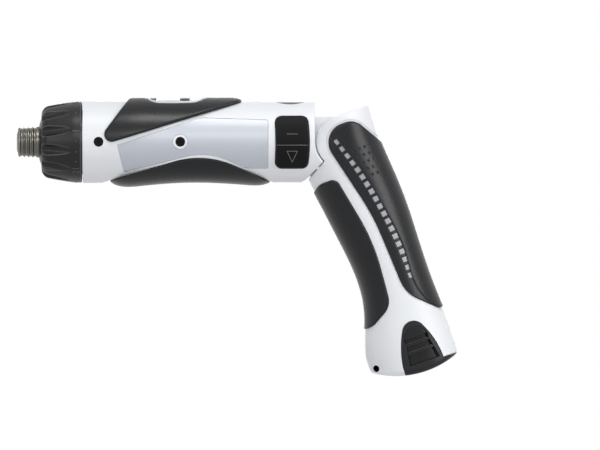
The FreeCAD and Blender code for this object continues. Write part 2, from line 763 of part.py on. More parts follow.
def spindle():
    shaft = turned(side_face(
        (0.0, 0.0),
        (0.0, SPINDLE_RADIUS - SPINDLE_CHAMFER),
        (SPINDLE_CHAMFER, SPINDLE_RADIUS),
        (STAGE_FRONT, SPINDLE_RADIUS),
        (STAGE_FRONT, 0.0),
    ))
    shaft = shaft.fuse(x_cylinder(PLATE_RADIUS, STAGE_FRONT, STAGE_FRONT + PLATE))
    pin = x_cylinder(PLANET_PIN_RADIUS, STAGE_FRONT + PLATE, STAGE_2_GEARS + GEAR_WIDTH, 0, CENTRE_DISTANCE)
    shaft = shaft.fuse(turned_copies(pin, 3))
    socket = hexagon(HEX_FLATS, -1.0, HEX_DEPTH)
    groove = x_tube(SPINDLE_RADIUS + 1, SPINDLE_RADIUS - 0.5, CLIP_X, CLIP_X + CLIP_THICKNESS)
    holes = []
    for centre in ball_centres():
        holes.append(Part.makeSphere(BALL_RADIUS + RUN, centre))
        reach = centre.z / abs(centre.z) * SPINDLE_RADIUS
        holes.append(Part.makeCylinder(BALL_RADIUS + RUN, BALL_RADIUS + 1, centre, vec(0, 0, reach)))
    return shaft.cut([socket, groove] + holes)


def locking_balls():
    return Part.Compound([Part.makeSphere(BALL_RADIUS, centre) for centre in ball_centres()])


def spindle_clip():
    ring = x_tube(CLIP_RADIUS, SPINDLE_RADIUS - 0.5 + SEAT, CLIP_X + SEAT, CLIP_X + CLIP_THICKNESS - SEAT)
    return ring.cut(block(CLIP_X - 1, CLIP_X + 2, -1.2, 1.2, 0, FAR))


def sleeve_spring():
    mean = (SPINDLE_RADIUS + SLEEVE_CHAMBER_RADIUS) / 2.0
    x0 = CLIP_X + CLIP_THICKNESS
    return coil(mean, SLEEVE_SPRING_WIRE, SLEEVE_SPRING_TURNS, x0, SLEEVE_LAND_START - SEAT)


def spindle_bushes():
    bush = x_tube(NOSE_BORE - SEAT, SPINDLE_RADIUS + RUN, NOSE_FRONT, NOSE_FRONT + BUSH_LENGTH)
    rear = x_tube(NOSE_BORE - SEAT, SPINDLE_RADIUS + RUN, CASE_FRONT - BUSH_LENGTH, CASE_FRONT)
    return Part.Compound([bush, rear])


# Clutch dial and clutch
def clutch_dial():
    skirt = DIAL_REAR - DIAL_SKIRT
    face = side_face(
        (DIAL_FRONT, SLEEVE_RADIUS + GAP),
        (DIAL_FRONT - DIAL_LIP, SLEEVE_RADIUS + GAP + DIAL_LIP),
        (DIAL_FRONT - DIAL_LIP / 8.0, DIAL_NOSE_RADIUS - 2.5),
        (DIAL_FRONT, DIAL_NOSE_RADIUS),
        ((DIAL_FRONT + 1.2, DIAL_RADIUS - 3.4), (DIAL_FRONT + 4.0, DIAL_RADIUS - 2.0)),
        ((DIAL_FRONT + 9.8, DIAL_RADIUS - 0.95), (DIAL_FRONT + 15.6, DIAL_RADIUS - 0.1)),
        (DIAL_REAR - 0.4, DIAL_RADIUS),
        (DIAL_REAR, DIAL_RADIUS - 0.4),
        (DIAL_REAR, SPIGOT_RADIUS + RUN),
        (skirt, SPIGOT_RADIUS + RUN),
        (skirt, DIAL_BORE),
        (DIAL_FRONT + DIAL_FRONT_WALL, DIAL_BORE),
        (DIAL_FRONT + DIAL_FRONT_WALL, SLEEVE_RADIUS + GAP),
    )
    dial = turned(face)
    low = DIAL_RADIUS - 2.0 - SCOOP_DEPTH
    slope = (DIAL_RADIUS - 0.5 - low) / SCOOP_LENGTH
    start = vec(DIAL_FRONT - 2.0, 0, low + SCOOP_RADIUS - 2.0 * slope)
    scoop = Part.makeCylinder(SCOOP_RADIUS, SCOOP_LENGTH * 1.6, start, vec(1, 0, slope))
    return dial.cut(turned_copies(scoop, SCOOP_COUNT, SCOOP_TURN))


def clutch_nut():
    return x_tube(DIAL_BORE - RUN, NOSE_RADIUS + RUN, NUT_FRONT, NUT_FRONT + NUT_THICKNESS)


def clutch_washer():
    return x_tube(DIAL_BORE - GAP, NOSE_RADIUS + RUN, WASHER_FRONT, WASHER_FRONT + WASHER_THICKNESS)


def clutch_spring():
    x0 = NUT_FRONT + NUT_THICKNESS + SEAT
    return coil(CLUTCH_SPRING_RADIUS, CLUTCH_SPRING_WIRE, CLUTCH_SPRING_TURNS, x0, WASHER_FRONT - SEAT)


def clutch_pins():
    x0 = WASHER_FRONT + WASHER_THICKNESS + SEAT
    pin = x_cylinder(PIN_RADIUS, x0, STAGE_2_GEARS - SEAT, 0, PIN_CIRCLE)
    return Part.Compound(turned_copies(pin, PIN_COUNT))


# Gear case and gears
def gear_case():
    case = x_tube(CASE_RADIUS, CASE_BORE, CASE_FRONT + SEAT, CASE_REAR)
    wall = x_tube(CASE_RADIUS, NOSE_BORE, CASE_FRONT + SEAT, CASE_FRONT + CASE_FRONT_WALL)
    nose = x_tube(NOSE_RADIUS, NOSE_BORE, NOSE_FRONT, CASE_FRONT + CASE_FRONT_WALL)
    spigot = x_tube(SPIGOT_RADIUS, DIAL_BORE, SPIGOT_FRONT, CASE_FRONT + CASE_FRONT_WALL)
    ledge = x_tube(CASE_RADIUS, CASE_BORE - 1.6, CASE_FRONT + CASE_FRONT_WALL, STAGE_2_GEARS - SEAT)
    case = case.fuse([wall, nose, spigot, ledge])
    pin = x_cylinder(PIN_RADIUS + RUN, CASE_FRONT - 5.0, STAGE_2_GEARS, 0, PIN_CIRCLE)
    holes = turned_copies(pin, PIN_COUNT)
    bore = y_cylinder(SCREW_SHANK_RADIUS + SEAT, -FAR, -CASE_BORE + 1.6, SCREW_X[0], 0)
    return case.cut(holes + [bore, mirrored(bore)])


def involute(angle):
    return math.tan(angle) - angle


def tooth_half_angle(teeth, radius, thickness):
    """Half the angle that a tooth of a given pitch thickness takes up at a radius."""
    pitch = MODULE * teeth / 2.0
    base = pitch * math.cos(math.radians(20.0))
    here = math.acos(base / max(radius, base))
    return thickness / (2.0 * pitch) + involute(math.radians(20.0)) - involute(here)


def gear_outline(teeth, tip, root, thickness, tooth_at):
    """Toothed face across the X axis, with a tooth's middle at an angle from +Z towards -Y."""
    base = MODULE * teeth / 2.0 * math.cos(math.radians(20.0))
    low = max(base, root)
    radii = [low, low + (tip - low) * 0.35, low + (tip - low) * 0.7, tip]
    if root < base:
        radii.insert(0, root)
    points = []
    for index in range(teeth):
        middle = tooth_at + index * 2.0 * math.pi / teeth
        rising = [(r, middle - tooth_half_angle(teeth, r, thickness)) for r in radii]
        falling = [(r, middle + tooth_half_angle(teeth, r, thickness)) for r in reversed(radii)]
        for radius, angle in rising + falling:
            points.append(vec(0, -radius * math.sin(angle), radius * math.cos(angle)))
    points.append(points[0])
    return Part.Face(Part.makePolygon(points))


def outer_gear(teeth, x0, x1, tooth_at):
    pitch = MODULE * teeth / 2.0
    thickness = math.pi * MODULE / 2.0 - BACKLASH
    face = gear_outline(teeth, pitch + ADDENDUM, pitch - DEDENDUM, thickness, tooth_at)
    face.translate(vec(x0, 0, 0))
    return face.extrude(vec(x1 - x0, 0, 0))


def ring_gear(x0):
    """Inner-toothed ring: its spaces have the outline of an outer gear's teeth."""
    pitch = MODULE * RING_TEETH / 2.0
    space = math.pi * MODULE / 2.0 + BACKLASH
    at = math.pi / RING_TEETH
    face = gear_outline(RING_TEETH, pitch + DEDENDUM, pitch - ADDENDUM, space, at)
    face.translate(vec(x0, 0, 0))
    teeth = face.extrude(vec(GEAR_WIDTH, 0, 0))
    return x_cylinder(CASE_BORE - SEAT, x0, x0 + GEAR_WIDTH).cut(teeth)


def planet_gear(x0, index):
    """Planet at its carrier angle, turned so that a space meets the sun's tooth."""
    place = index * 2.0 * math.pi / 3.0
    tooth_at = place + math.pi + place * SUN_TEETH / PLANET_TEETH + math.pi / PLANET_TEETH
    gear = outer_gear(PLANET_TEETH, x0, x0 + GEAR_WIDTH, tooth_at)
    gear = gear.cut(x_cylinder(PLANET_PIN_RADIUS + RUN, x0, x0 + GEAR_WIDTH))
    gear.translate(vec(0, -CENTRE_DISTANCE * math.sin(place), CENTRE_DISTANCE * math.cos(place)))
    return gear


def carrier_1():
    plate = x_cylinder(PLATE_RADIUS, CARRIER_1_FRONT, CARRIER_1_FRONT + PLATE)
    sun = outer_gear(SUN_TEETH, STAGE_2_GEARS, CARRIER_1_FRONT + PLATE, 0.0)
    back = CARRIER_1_FRONT + PLATE
    pin = x_cylinder(PLANET_PIN_RADIUS, back, STAGE_1_GEARS + GEAR_WIDTH, 0, CENTRE_DISTANCE)
    return plate.fuse([sun] + turned_copies(pin, 3))


# Motor
def motor_mount():
    cup = x_cylinder(CASE_RADIUS, CASE_REAR, CASE_REAR + MOUNT_LENGTH)
    seat = x_cylinder(MOTOR_RADIUS + SEAT, MOTOR_FRONT, CASE_REAR + MOUNT_LENGTH)
    hole = x_cylinder(MODULE * SUN_TEETH / 2.0 + 1.0, CASE_REAR, MOTOR_FRONT)
    bore = y_cylinder(SCREW_SHANK_RADIUS + SEAT, -FAR, -MOTOR_RADIUS, SCREW_X[1], 0)
    return cup.cut([seat, hole, bore, mirrored(bore)])


def motor_can():
    can = x_cylinder(MOTOR_RADIUS, MOTOR_FRONT, MOTOR_REAR)
    inside = x_cylinder(MOTOR_RADIUS - MOTOR_WALL, MOTOR_FRONT + MOTOR_WALL, MOTOR_REAR)
    boss = x_cylinder(SHAFT_RADIUS * 3.0, MOTOR_FRONT, MOTOR_FRONT + 4.0)
    return can.cut(inside).fuse(boss).cut(x_cylinder(SHAFT_RADIUS + RUN, MOTOR_FRONT, MOTOR_REAR))


def motor_magnets():
    outer = MOTOR_RADIUS - MOTOR_WALL - SEAT
    x0 = MOTOR_FRONT + (MOTOR_LENGTH - MAGNET_LENGTH) / 2.0
    ring = x_tube(outer, outer - MAGNET_THICKNESS, x0, x0 + MAGNET_LENGTH)
    upper = ring.common(block(x0, x0 + MAGNET_LENGTH, -FAR, FAR, outer * 0.4, FAR))
    lower = ring.common(block(x0, x0 + MAGNET_LENGTH, -FAR, FAR, -FAR, -outer * 0.4))
    return Part.Compound([upper, lower])


def motor_end_cap():
    plug = x_cylinder(MOTOR_RADIUS - MOTOR_WALL - SEAT, MOTOR_REAR - END_CAP_LENGTH, MOTOR_REAR)
    boss = x_cylinder(SHAFT_RADIUS * 3.0, MOTOR_REAR, MOTOR_REAR + 2.0)
    tabs = [
        block(MOTOR_REAR, MOTOR_REAR + 4.0, -0.4, 0.4, z - 1.5, z + 1.5)
        for z in (MOTOR_RADIUS * 0.6, -MOTOR_RADIUS * 0.6)
    ]
    cap = plug.fuse([boss] + tabs)
    return cap.cut(x_cylinder(SHAFT_RADIUS + RUN, MOTOR_REAR - 20.0, MOTOR_REAR + 1.2))


def motor_shaft():
    """Shaft with the commutator on it."""
    x0 = MOTOR_REAR - END_CAP_LENGTH - COMMUTATOR_LENGTH - AXIAL_GAP
    ring = x_cylinder(COMMUTATOR_RADIUS, x0, x0 + COMMUTATOR_LENGTH)
    slit = block(x0, x0 + COMMUTATOR_LENGTH, -0.2, 0.2, COMMUTATOR_RADIUS - 0.8, FAR)
    shaft = x_cylinder(SHAFT_RADIUS, STAGE_1_GEARS, MOTOR_REAR + 1.0)
    return shaft.fuse(ring.cut(turned_copies(slit, 5)))


def motor_pinion():
    gear = outer_gear(SUN_TEETH, STAGE_1_GEARS, MOTOR_FRONT - AXIAL_GAP, 0.0)
    return gear.cut(x_cylinder(SHAFT_RADIUS + SEAT / 5.0, STAGE_1_GEARS, MOTOR_FRONT))


def armature():
    x0 = MOTOR_FRONT + (MOTOR_LENGTH - ARMATURE_LENGTH) / 2.0 - 1.0
    core = x_cylinder(ARMATURE_RADIUS, x0, x0 + ARMATURE_LENGTH)
    slot = block(x0, x0 + ARMATURE_LENGTH, -1.0, 1.0, ARMATURE_RADIUS * 0.55, ARMATURE_RADIUS + 1.0)
    core = core.cut(turned_copies(slot, 5))
    return core.cut(x_cylinder(SHAFT_RADIUS + SEAT / 5.0, x0, x0 + ARMATURE_LENGTH))


# Controls
def rocker():
    outer = body_half(ROCKER_PROUD, ROCKER_X - ROCKER_WIDTH, ROCKER_X + ROCKER_WIDTH)
    inner = body_half(ROCKER_PROUD - ROCKER_THICKNESS, ROCKER_X - ROCKER_WIDTH, ROCKER_X + ROCKER_WIDTH)
    paddle = outer.cut(inner).common(rocker_prism())
    paddle = round_edges(paddle, ROCKER_ROUND, is_outer)
    half = ROCKER_WIDTH / 2.0
    web = block(
        ROCKER_X - half,
        ROCKER_X + half,
        ROCKER_AXIS_Y - 2.0,
        ROCKER_AXIS_Y + ROCKER_WEB,
        -ROCKER_WEB,
        ROCKER_WEB,
    )
    reach = half + ROCKER_PIN_LENGTH
    pins = x_cylinder(ROCKER_PIN_RADIUS, ROCKER_X - reach, ROCKER_X + reach, ROCKER_AXIS_Y, 0)
    return paddle.fuse([web, pins])


def speed_slider():
    rear = SLIDER_FRONT + SLIDER_LENGTH
    low = TRAY_FLOOR + SEAT * 2
    plate = block(SLIDER_FRONT, rear, -SLIDER_HALF_WIDTH, SLIDER_HALF_WIDTH, low, low + SLIDER_PLATE)
    crown = x_cylinder(SLIDER_TOP, SLIDER_FRONT, rear)
    wide = block(SLIDER_FRONT, rear, -SLIDER_HALF_WIDTH, SLIDER_HALF_WIDTH, low, FAR)
    front = block(SLIDER_FRONT, SLIDER_FRONT + SLIDER_FRONT_RIB, -FAR, FAR, low, FAR)
    back = block(rear - SLIDER_REAR_RIB, rear, -FAR, FAR, low, FAR)
    ribs = crown.common(wide).common(front.fuse(back))
    stem_front = SLIDER_FRONT + SLIDER_STEM
    stem = block(
        stem_front,
        stem_front + SLIDER_STEM,
        -SLIDER_STEM / 2.0,
        SLIDER_STEM / 2.0,
        CASE_RADIUS + SEAT * 4,
        low + SLIDER_PLATE,
    )
    return plate.fuse([ribs, stem])


def top_button():
    face = body_half(-BUTTON_SINK, BODY_FRONT, BODY_REAR)
    column = button_prism(0.0, BUTTON_FLANGE_TOP - BUTTON_FLANGE_THICKNESS, FAR)
    crown = column.common(face.fuse(mirrored(face)))
    flange = button_prism(BUTTON_FLANGE, BUTTON_FLANGE_TOP - BUTTON_FLANGE_THICKNESS, BUTTON_FLANGE_TOP)
    return crown.fuse(flange)


def switch_block():
    rear_y = BOARD_Y - SEAT / 5.0
    front_y = rear_y - SWITCH_DEPTH
    x0 = ROCKER_X - SWITCH_LENGTH / 2.0
    case = block(x0, x0 + SWITCH_LENGTH, front_y, rear_y, -SWITCH_HALF_HEIGHT, SWITCH_HALF_HEIGHT)
    relief = block(x0 - 1, x0 + SWITCH_LENGTH + 1, front_y - 1, front_y + 1.6, -2.4, 2.4)
    plungers = [y_cylinder(1.3, front_y - 0.9, front_y, ROCKER_X, z) for z in (4.6, -4.6)]
    return case.cut(relief).fuse(plungers)


def circuit_board():
    x1 = BOARD_FRONT + BOARD_LENGTH
    board = block(BOARD_FRONT, x1, BOARD_Y, BOARD_Y + BOARD_THICKNESS, BOARD_BOTTOM, BOARD_TOP)
    key = block(BUTTON_X - 3, BUTTON_X + 3, BOARD_Y - 1.0, BOARD_Y + 5.0, BOARD_TOP - 3.0, BOARD_TOP)
    return board.fuse(key)


# Handle in its own straight coordinates
def half_section(u, front, back, half_width, offset):
    """Left half of the handle's oval section, closed along the parting plane."""
    middle = (front + back) / 2.0
    reach = (back - front) / 2.0 + offset
    arc = Part.Arc(vec(u, 0, 1), vec(u, -1, 0), vec(u, 0, -1)).toShape()
    stretch = FreeCAD.Matrix()
    stretch.scale(1.0, half_width + offset, reach)
    stretch.move(vec(0, 0, middle))
    arc = arc.transformGeometry(stretch)
    chord = Part.makeLine(vec(u, 0, middle - reach), vec(u, 0, middle + reach))
    return Part.Wire([arc, chord])


def handle_form(offset):
    sections = [half_section(*section, offset) for section in HEAD_SECTIONS]
    for place, front, back, half_width in END_SECTIONS:
        sections.append(half_section(HANDLE_LENGTH + place, front, back, half_width, offset))
    return Part.makeLoft(sections, True, False)


def local_polar(radius, angle):
    turn = math.radians(angle)
    return (radius * math.cos(turn), radius * math.sin(turn))


def lobe_angle():
    """Angle of the lobe's straight edge, which lies along the chin when the handle is folded."""
    return CHIN_ANGLE + LOBE_GAP_ANGLE + FOLD_ANGLE + 180.0


def lobe_lip():
    """Lip inside the lobe that enters the chin, so that nothing shows through the gap between them."""
    root = lobe_angle() + LIP_ANGLE
    tip = lobe_angle() - LOBE_GAP_ANGLE - LIP_ANGLE
    face = side_face(
        local_polar(LIP_START, root),
        local_polar(LIP_END, root),
        local_polar(LIP_END, tip),
        local_polar(LIP_START, tip),
    )
    return across(face, -LIP_HALF, 0)


def handle_trim():
    """Side outline of the handle: spur flat, head circle, lobe edge and rounded lower end."""
    lobe = lobe_angle()
    return side_face(
        (-HEAD_RADIUS, FAR),
        (-HEAD_RADIUS, 0),
        (local_polar(HEAD_RADIUS, (180.0 + lobe) / 2.0), local_polar(HEAD_RADIUS, lobe)),
        local_polar(FAR, lobe),
        (HANDLE_LENGTH - 13.2, -FAR),
        (HANDLE_LENGTH - 13.2, -33.0),
        (HANDLE_LENGTH - 6.5, -22.6),
        ((HANDLE_LENGTH, -3.0), (HANDLE_LENGTH - 3.8, 20.0)),
        (HANDLE_LENGTH - 3.8, FAR),
    )


def back_grip_face(inset=0.0):
    face = rounded_face(
        (14.0, 22.5, 0),
        (-8.3, 9.1, 8.0),
        (-8.3, -9.4, 9.5),
        (38.3, 1.7, 110.0),
        (HANDLE_LENGTH - 38.3, 3.6, 16.0),
        (HANDLE_LENGTH - 25.9, 16.4, 2.0),
        (HANDLE_LENGTH - 25.9, 24.0, 0),
    )
    return face.makeOffset2D(-inset) if inset else face


def front_grip_face(inset=0.0):
    face = rounded_face(
        (20.0, -25.5, 0),
        (15.4, -16.9, 4.0),
        (15.4, -8.7, 4.0),
        (50.0, -2.1, 100.0),
        (HANDLE_LENGTH - 34.9, -4.9, 9.0),
        (HANDLE_LENGTH - 28.4, -16.4, 8.0),
        (HANDLE_LENGTH - 28.4, -28.0, 0),
    )
    return face.makeOffset2D(-inset) if inset else face


def cap_face(inset=0.0):
    end = HANDLE_LENGTH
    face = side_face(
        (end + 5.3, -10.2),
        ((end - 13.6, -7.6), (end - 21.7, -4.1)),
        ((end - 24.9, 1.4), (end - 21.1, 6.4)),
        ((end - 12.7, 9.4), (end - 3.5, 10.5)),
        (end - 3.5, 30.0),
        (end + 5.3, 30.0),
    )
    return face.makeOffset2D(-inset) if inset else face


def latch_face(grow=0.0):
    end = HANDLE_LENGTH
    face = side_face(
        (end - LATCH_FOOT, -6.0),
        (end - 14.7, -4.3),
        ((end - 21.7, 1.4), (end - 14.7, 6.6)),
        (end - LATCH_FOOT, 8.6),
    )
    return face.makeOffset2D(grow) if grow else face


def inlay_point(index):
    """Middle of a square in the inlay row, which bends along the back grip."""
    u = -0.9 + 4.0 * index
    w = -1.9 + 0.322 * u - 0.00235 * u * u
    return (u, w, math.degrees(math.atan(0.322 - 0.0047 * u)))


def crease_front(inset=0.0):
    """Part of the back grip in front of the crease, which runs along the inlay row and on to the tip."""
    row = [inlay_point(index)[:2] for index in (0, 5, 10, 15)]
    points = [vec(-12.0, 0, -4.6), vec(-2.2, 0, -1.9)]
    points += [vec(u, 0, w + CREASE_OFFSET) for u, w in row[1:]]
    points += [vec(HANDLE_LENGTH - 42.8, 0, 9.6), vec(HANDLE_LENGTH - 36.9, 0, 10.6)]
    points += [vec(HANDLE_LENGTH - 29.3, 0, 14.2), vec(HANDLE_LENGTH - 22.0, 0, 22.0)]
    curve = Part.BSplineCurve()
    curve.interpolate([point - vec(0, 0, inset) for point in points])
    first = curve.StartPoint
    last = curve.EndPoint
    edges = [
        curve.toShape(),
        Part.makeLine(last, vec(last.x, 0, -FAR)),
        Part.makeLine(vec(last.x, 0, -FAR), vec(first.x, 0, -FAR)),
        Part.makeLine(vec(first.x, 0, -FAR), first),
    ]
    return across(Part.Face(Part.Wire(edges)), -FAR, 0)


def dimples():
    """Small round dents in the back grip, in rows of three behind the inlay row."""
    dents = []
    surface = handle_form(HANDLE_GRIP_PROUD)
    for row, count in enumerate(DIMPLE_ROWS):
        for column in range(count):
            u = DIMPLE_U + DIMPLE_ROW_PITCH * row
            w = DIMPLE_W + DIMPLE_ROW_SHIFT * row + DIMPLE_PITCH * column
            line = Part.makeLine(vec(u, -FAR, w), vec(u, 0, w))
            y = surface.common(line).BoundBox.YMin
            dents.append(y_cylinder(DIMPLE_RADIUS, -FAR, y + DIMPLE_DEPTH, u, w))
    return dents


def inlay_squares(size, front):
    squares = []
    half = size / 2.0
    for index in range(INLAY_COUNT):
        u, w, angle = inlay_point(index)
        square = block(-half, half, -FAR, 0, -half, half)
        square.rotate(vec(0, 0, 0), vec(0, 1, 0), -angle)
        square.translate(vec(u, 0, w))
        squares.append(square.common(front))
    return squares


def inlay_band(grow):
    """Band under the squares, from the first of them to the last."""
    first = inlay_point(-0.5)
    middle = inlay_point((INLAY_COUNT - 1) / 2.0)
    last = inlay_point(INLAY_COUNT - 0.5)
    half = INLAY_SIZE / 2.0 + 0.7 + grow
    face = side_face(
        (first[0], first[1] + half),
        ((middle[0], middle[1] + half), (last[0], last[1] + half)),
        (last[0], last[1] - half),
        ((middle[0], middle[1] - half), (first[0], first[1] - half)),
    )
    return across(face, -FAR, 0)


def tongue_slot():
    """Room between the cheeks for the body's tongue over the whole fold."""
    reach = TONGUE_RADIUS + FOLD_GAP
    half = TONGUE_HALF + TONGUE_SIDE_GAP
    room = y_cylinder(reach, -half, 0, 0, 0)
    bars = []
    for angle in DETENT_ANGLES:
        bar = block(-FAR, 0, -half, 0, -reach, reach)
        bar.rotate(vec(0, 0, 0), vec(0, 1, 0), -angle)
        bars.append(bar)
    return room.fuse(bars)


def handle_cavity_face():
    return side_face(
        (HANDLE_CAVITY_FRONT, -FAR),
        (HANDLE_CAVITY_FRONT, FAR),
        (HANDLE_LENGTH - 7.7, FAR),
        (HANDLE_LENGTH - 4.2, 4.0),
        (HANDLE_LENGTH - 4.7, -12.0),
        (HANDLE_LENGTH - 18.7, -15.0),
        (HANDLE_LENGTH - 24.7, -FAR),
    )


def handle_ribs(form):
    """Guide rings round the battery and the bulkhead that carries the terminals."""
    pieces = []
    for u in (FRONT_RIB, HANDLE_LENGTH - REAR_RIB):
        rib = form.common(block(u, u + RIB_THICKNESS, -FAR, 0, -FAR, FAR))
        pieces.append(rib.cut(x_cylinder(BATTERY_RADIUS + GAP, u - 1, u + RIB_THICKNESS + 1, 0, BATTERY_W)))
    wall = form.common(block(BULKHEAD_U, BULKHEAD_U + BULKHEAD_THICKNESS, -FAR, 0, -FAR, FAR))
    pieces.append(wall.cut(x_cylinder(LEAD_HOLE_RADIUS, 0, BULKHEAD_U + 5.0)))
    return pieces


def handle_outer():
    """Left half of the closed handle, battery end included, with its edges rounded."""
    outer = handle_form(0.0).common(across(handle_trim(), -FAR, 0))
    outer = round_edges(outer, HANDLE_END_ROUND, lambda point: point.x > HANDLE_LENGTH - 3.0 * HANDLE_END_ROUND)
    return round_edges(outer, HANDLE_HEAD_ROUND, lambda point: point.x < HEAD_RADIUS)


def strap_hole():
    """Strap hole straight through the handle, at a slant so that its far end is nearly covered."""
    hole = y_cylinder(STRAP_RADIUS, -FAR, FAR, 0, 0)
    hole.rotate(vec(0, 0, 0), vec(1, 0, 0), STRAP_SLANT)
    hole.translate(vec(STRAP_U, 0, STRAP_W))
    return hole


def handle_shell_half():
    shell = handle_outer()
    cavity = handle_form(-HANDLE_WALL).common(across(handle_cavity_face(), -FAR, 0))
    leads = x_cylinder(LEAD_HOLE_RADIUS, 0, HANDLE_CAVITY_FRONT + 1.0)
    pin = y_cylinder(PIVOT_RADIUS + SEAT, -PIVOT_HALF_LENGTH - SEAT, 0, 0, 0)
    shell = shell.cut([cavity, tongue_slot(), leads, pin])
    shell = shell.fuse(handle_ribs(handle_form(SEAT * 2 - HANDLE_WALL)) + [lobe_lip()])
    under_grip = handle_form(-HANDLE_GRIP_DEPTH)
    ledge = across(back_grip_face(-LEDGE_WIDTH), -FAR, 0).cut(handle_form(-LEDGE_DEPTH))
    shell = shell.cut(ledge)
    outlines = (back_grip_face(), front_grip_face())
    grips = [across(face, -FAR, 0).cut(under_grip) for face in outlines]
    dents = []
    for angle in DETENT_ANGLES:
        u, w = local_polar(DETENT_CIRCLE, 180.0 + angle)
        face_y = -TONGUE_HALF - TONGUE_SIDE_GAP
        dents.append(Part.makeSphere(DETENT_BALL, vec(u, face_y + DETENT_BALL * 0.8, w)))
    way_out = x_cylinder(BATTERY_RADIUS + GAP, BATTERY_TOP, HANDLE_LENGTH + 1.0, 0, BATTERY_W)
    return shell.cut(grips + [across(cap_face(), -FAR, 0), way_out] + dents)


def handle_grip(face):
    form = handle_form(HANDLE_GRIP_PROUD).cut(handle_form(SEAT - HANDLE_GRIP_DEPTH))
    grip = form.common(across(face, -FAR, 0))
    core = handle_form(HANDLE_GRIP_PROUD - 0.02)
    return round_edges(grip, HANDLE_GRIP_ROUND, lambda point: not core.isInside(point, 1e-3, False))


def handle_grip_back():
    grip = handle_grip(back_grip_face(GRIP_EDGE_GAP))
    front = crease_front()
    grip = grip.cut(front.cut(handle_form(HANDLE_GRIP_PROUD - CREASE_STEP)))
    bed = handle_form(INLAY_BASE + SEAT - HANDLE_GRIP_DEPTH).common(inlay_band(GRIP_EDGE_GAP))
    return grip.cut([bed] + inlay_squares(INLAY_SIZE + 2 * SEAT, front) + dimples())


def handle_grip_front():
    return handle_grip(front_grip_face(GRIP_EDGE_GAP))


def grip_inlay():
    """Light strip under the back grip whose squares come up through it."""
    floor = handle_form(2 * SEAT - HANDLE_GRIP_DEPTH)
    strip = handle_form(INLAY_BASE - HANDLE_GRIP_DEPTH).cut(floor).common(inlay_band(0.0))
    studs = handle_form(INLAY_SHOW).cut(floor)
    squares = inlay_squares(INLAY_SIZE, crease_front(SEAT))
    return strip.fuse([studs.common(square) for square in squares])


def pivot_pin():
    half = PIVOT_HALF_LENGTH
    pin = y_cylinder(PIVOT_RADIUS, -half, half, 0, 0).cut(y_cylinder(PIVOT_BORE, -half, half, 0, 0))
    return pin.cut(x_cylinder(PIVOT_BORE, -FAR, FAR))


def detent_balls():
    x, z = detent_place()
    y = TONGUE_HALF + DETENT_SHOW - DETENT_BALL
    return Part.Compound([Part.makeSphere(DETENT_BALL, vec(x, side * y, z)) for side in (-1, 1)])


def detent_springs():
    x, z = detent_place()
    outer = TONGUE_HALF + DETENT_SHOW - 2 * DETENT_BALL - SEAT
    inner = TONGUE_HALF - DETENT_BORE_DEPTH
    spring = coil(DETENT_BALL - DETENT_WIRE - RUN, DETENT_WIRE, DETENT_TURNS, inner, outer)
    spring.rotate(vec(0, 0, 0), vec(0, 0, 1), 90.0)
    spring.translate(vec(x, 0, z))
    return Part.Compound([spring, mirrored(spring)])


# Battery and its contacts
def terminal_block():
    u0 = BULKHEAD_U + BULKHEAD_THICKNESS
    half = CONTACT_HALF_SPREAD + BLADE_WIDTH
    body = block(u0 + SEAT, u0 + TERMINAL_DEPTH, -half, half, BATTERY_W - 6.0, BATTERY_W + 6.0)
    slots = [blade_block(side, SEAT) for side in (-1, 1)]
    return body.cut(slots)


def blade_block(side, grow):
    u0 = BULKHEAD_U + BULKHEAD_THICKNESS + 1.0
    y = side * CONTACT_HALF_SPREAD
    half = BLADE_WIDTH / 2.0 + grow
    thick = BLADE_THICKNESS / 2.0 + grow
    u1 = BATTERY_TOP - CONTACT_THICKNESS - GAP
    return block(u0 - grow, u1, y - half, y + half, BATTERY_W - thick, BATTERY_W + thick)


def terminal_blades():
    return Part.Compound([blade_block(side, 0.0) for side in (-1, 1)])


def battery_case():
    cap = handle_outer().common(across(cap_face(CAP_GAP), -FAR, 0))
    pocket = across(latch_face(LATCH_GAP), -FAR, -LATCH_FLOOR)
    cap = cap.cut(pocket)
    tube = x_cylinder(BATTERY_RADIUS, BATTERY_TOP, HANDLE_LENGTH, 0, BATTERY_W).common(handle_outer())
    tube = tube.cut(pocket)
    case = cap.fuse([mirrored(cap), tube, mirrored(tube)])
    u0 = BATTERY_TOP + BATTERY_LID
    cell_room = x_cylinder(CELL_RADIUS + SEAT, u0, u0 + CELL_LENGTH + SEAT, 0, BATTERY_W)
    return case.cut(cell_room)


def battery_cell():
    u0 = BATTERY_TOP + BATTERY_LID + SEAT / 2.0
    return x_cylinder(CELL_RADIUS, u0, u0 + CELL_LENGTH, 0, BATTERY_W)


def battery_contacts():
    pads = []
    for side in (-1, 1):
        y = side * CONTACT_HALF_SPREAD
        half = BLADE_WIDTH / 2.0
        low = BATTERY_W - BLADE_WIDTH
        high = BATTERY_W + BLADE_WIDTH
        pads.append(block(BATTERY_TOP - CONTACT_THICKNESS, BATTERY_TOP, y - half, y + half, low, high))
    return Part.Compound(pads)


def battery_latch():
    """Left latch: a sunk plate whose domed tip and cross ribs come up to the handle's surface."""
    outline = across(latch_face(), -FAR, -LATCH_BACK)
    plate = handle_form(-LATCH_SINK).common(outline)
    surface = handle_form(0.0).common(outline)
    raised = [surface.common(block(0, HANDLE_LENGTH - LATCH_DOME, -FAR, 0, -FAR, FAR))]
    for index in range(LATCH_RIB_COUNT):
        u = HANDLE_LENGTH - LATCH_RIB_FIRST + index * LATCH_RIB_PITCH
        raised.append(surface.common(block(u, u + LATCH_RIB_WIDTH, -FAR, 0, -FAR, FAR)))
    return plate.fuse(raised)


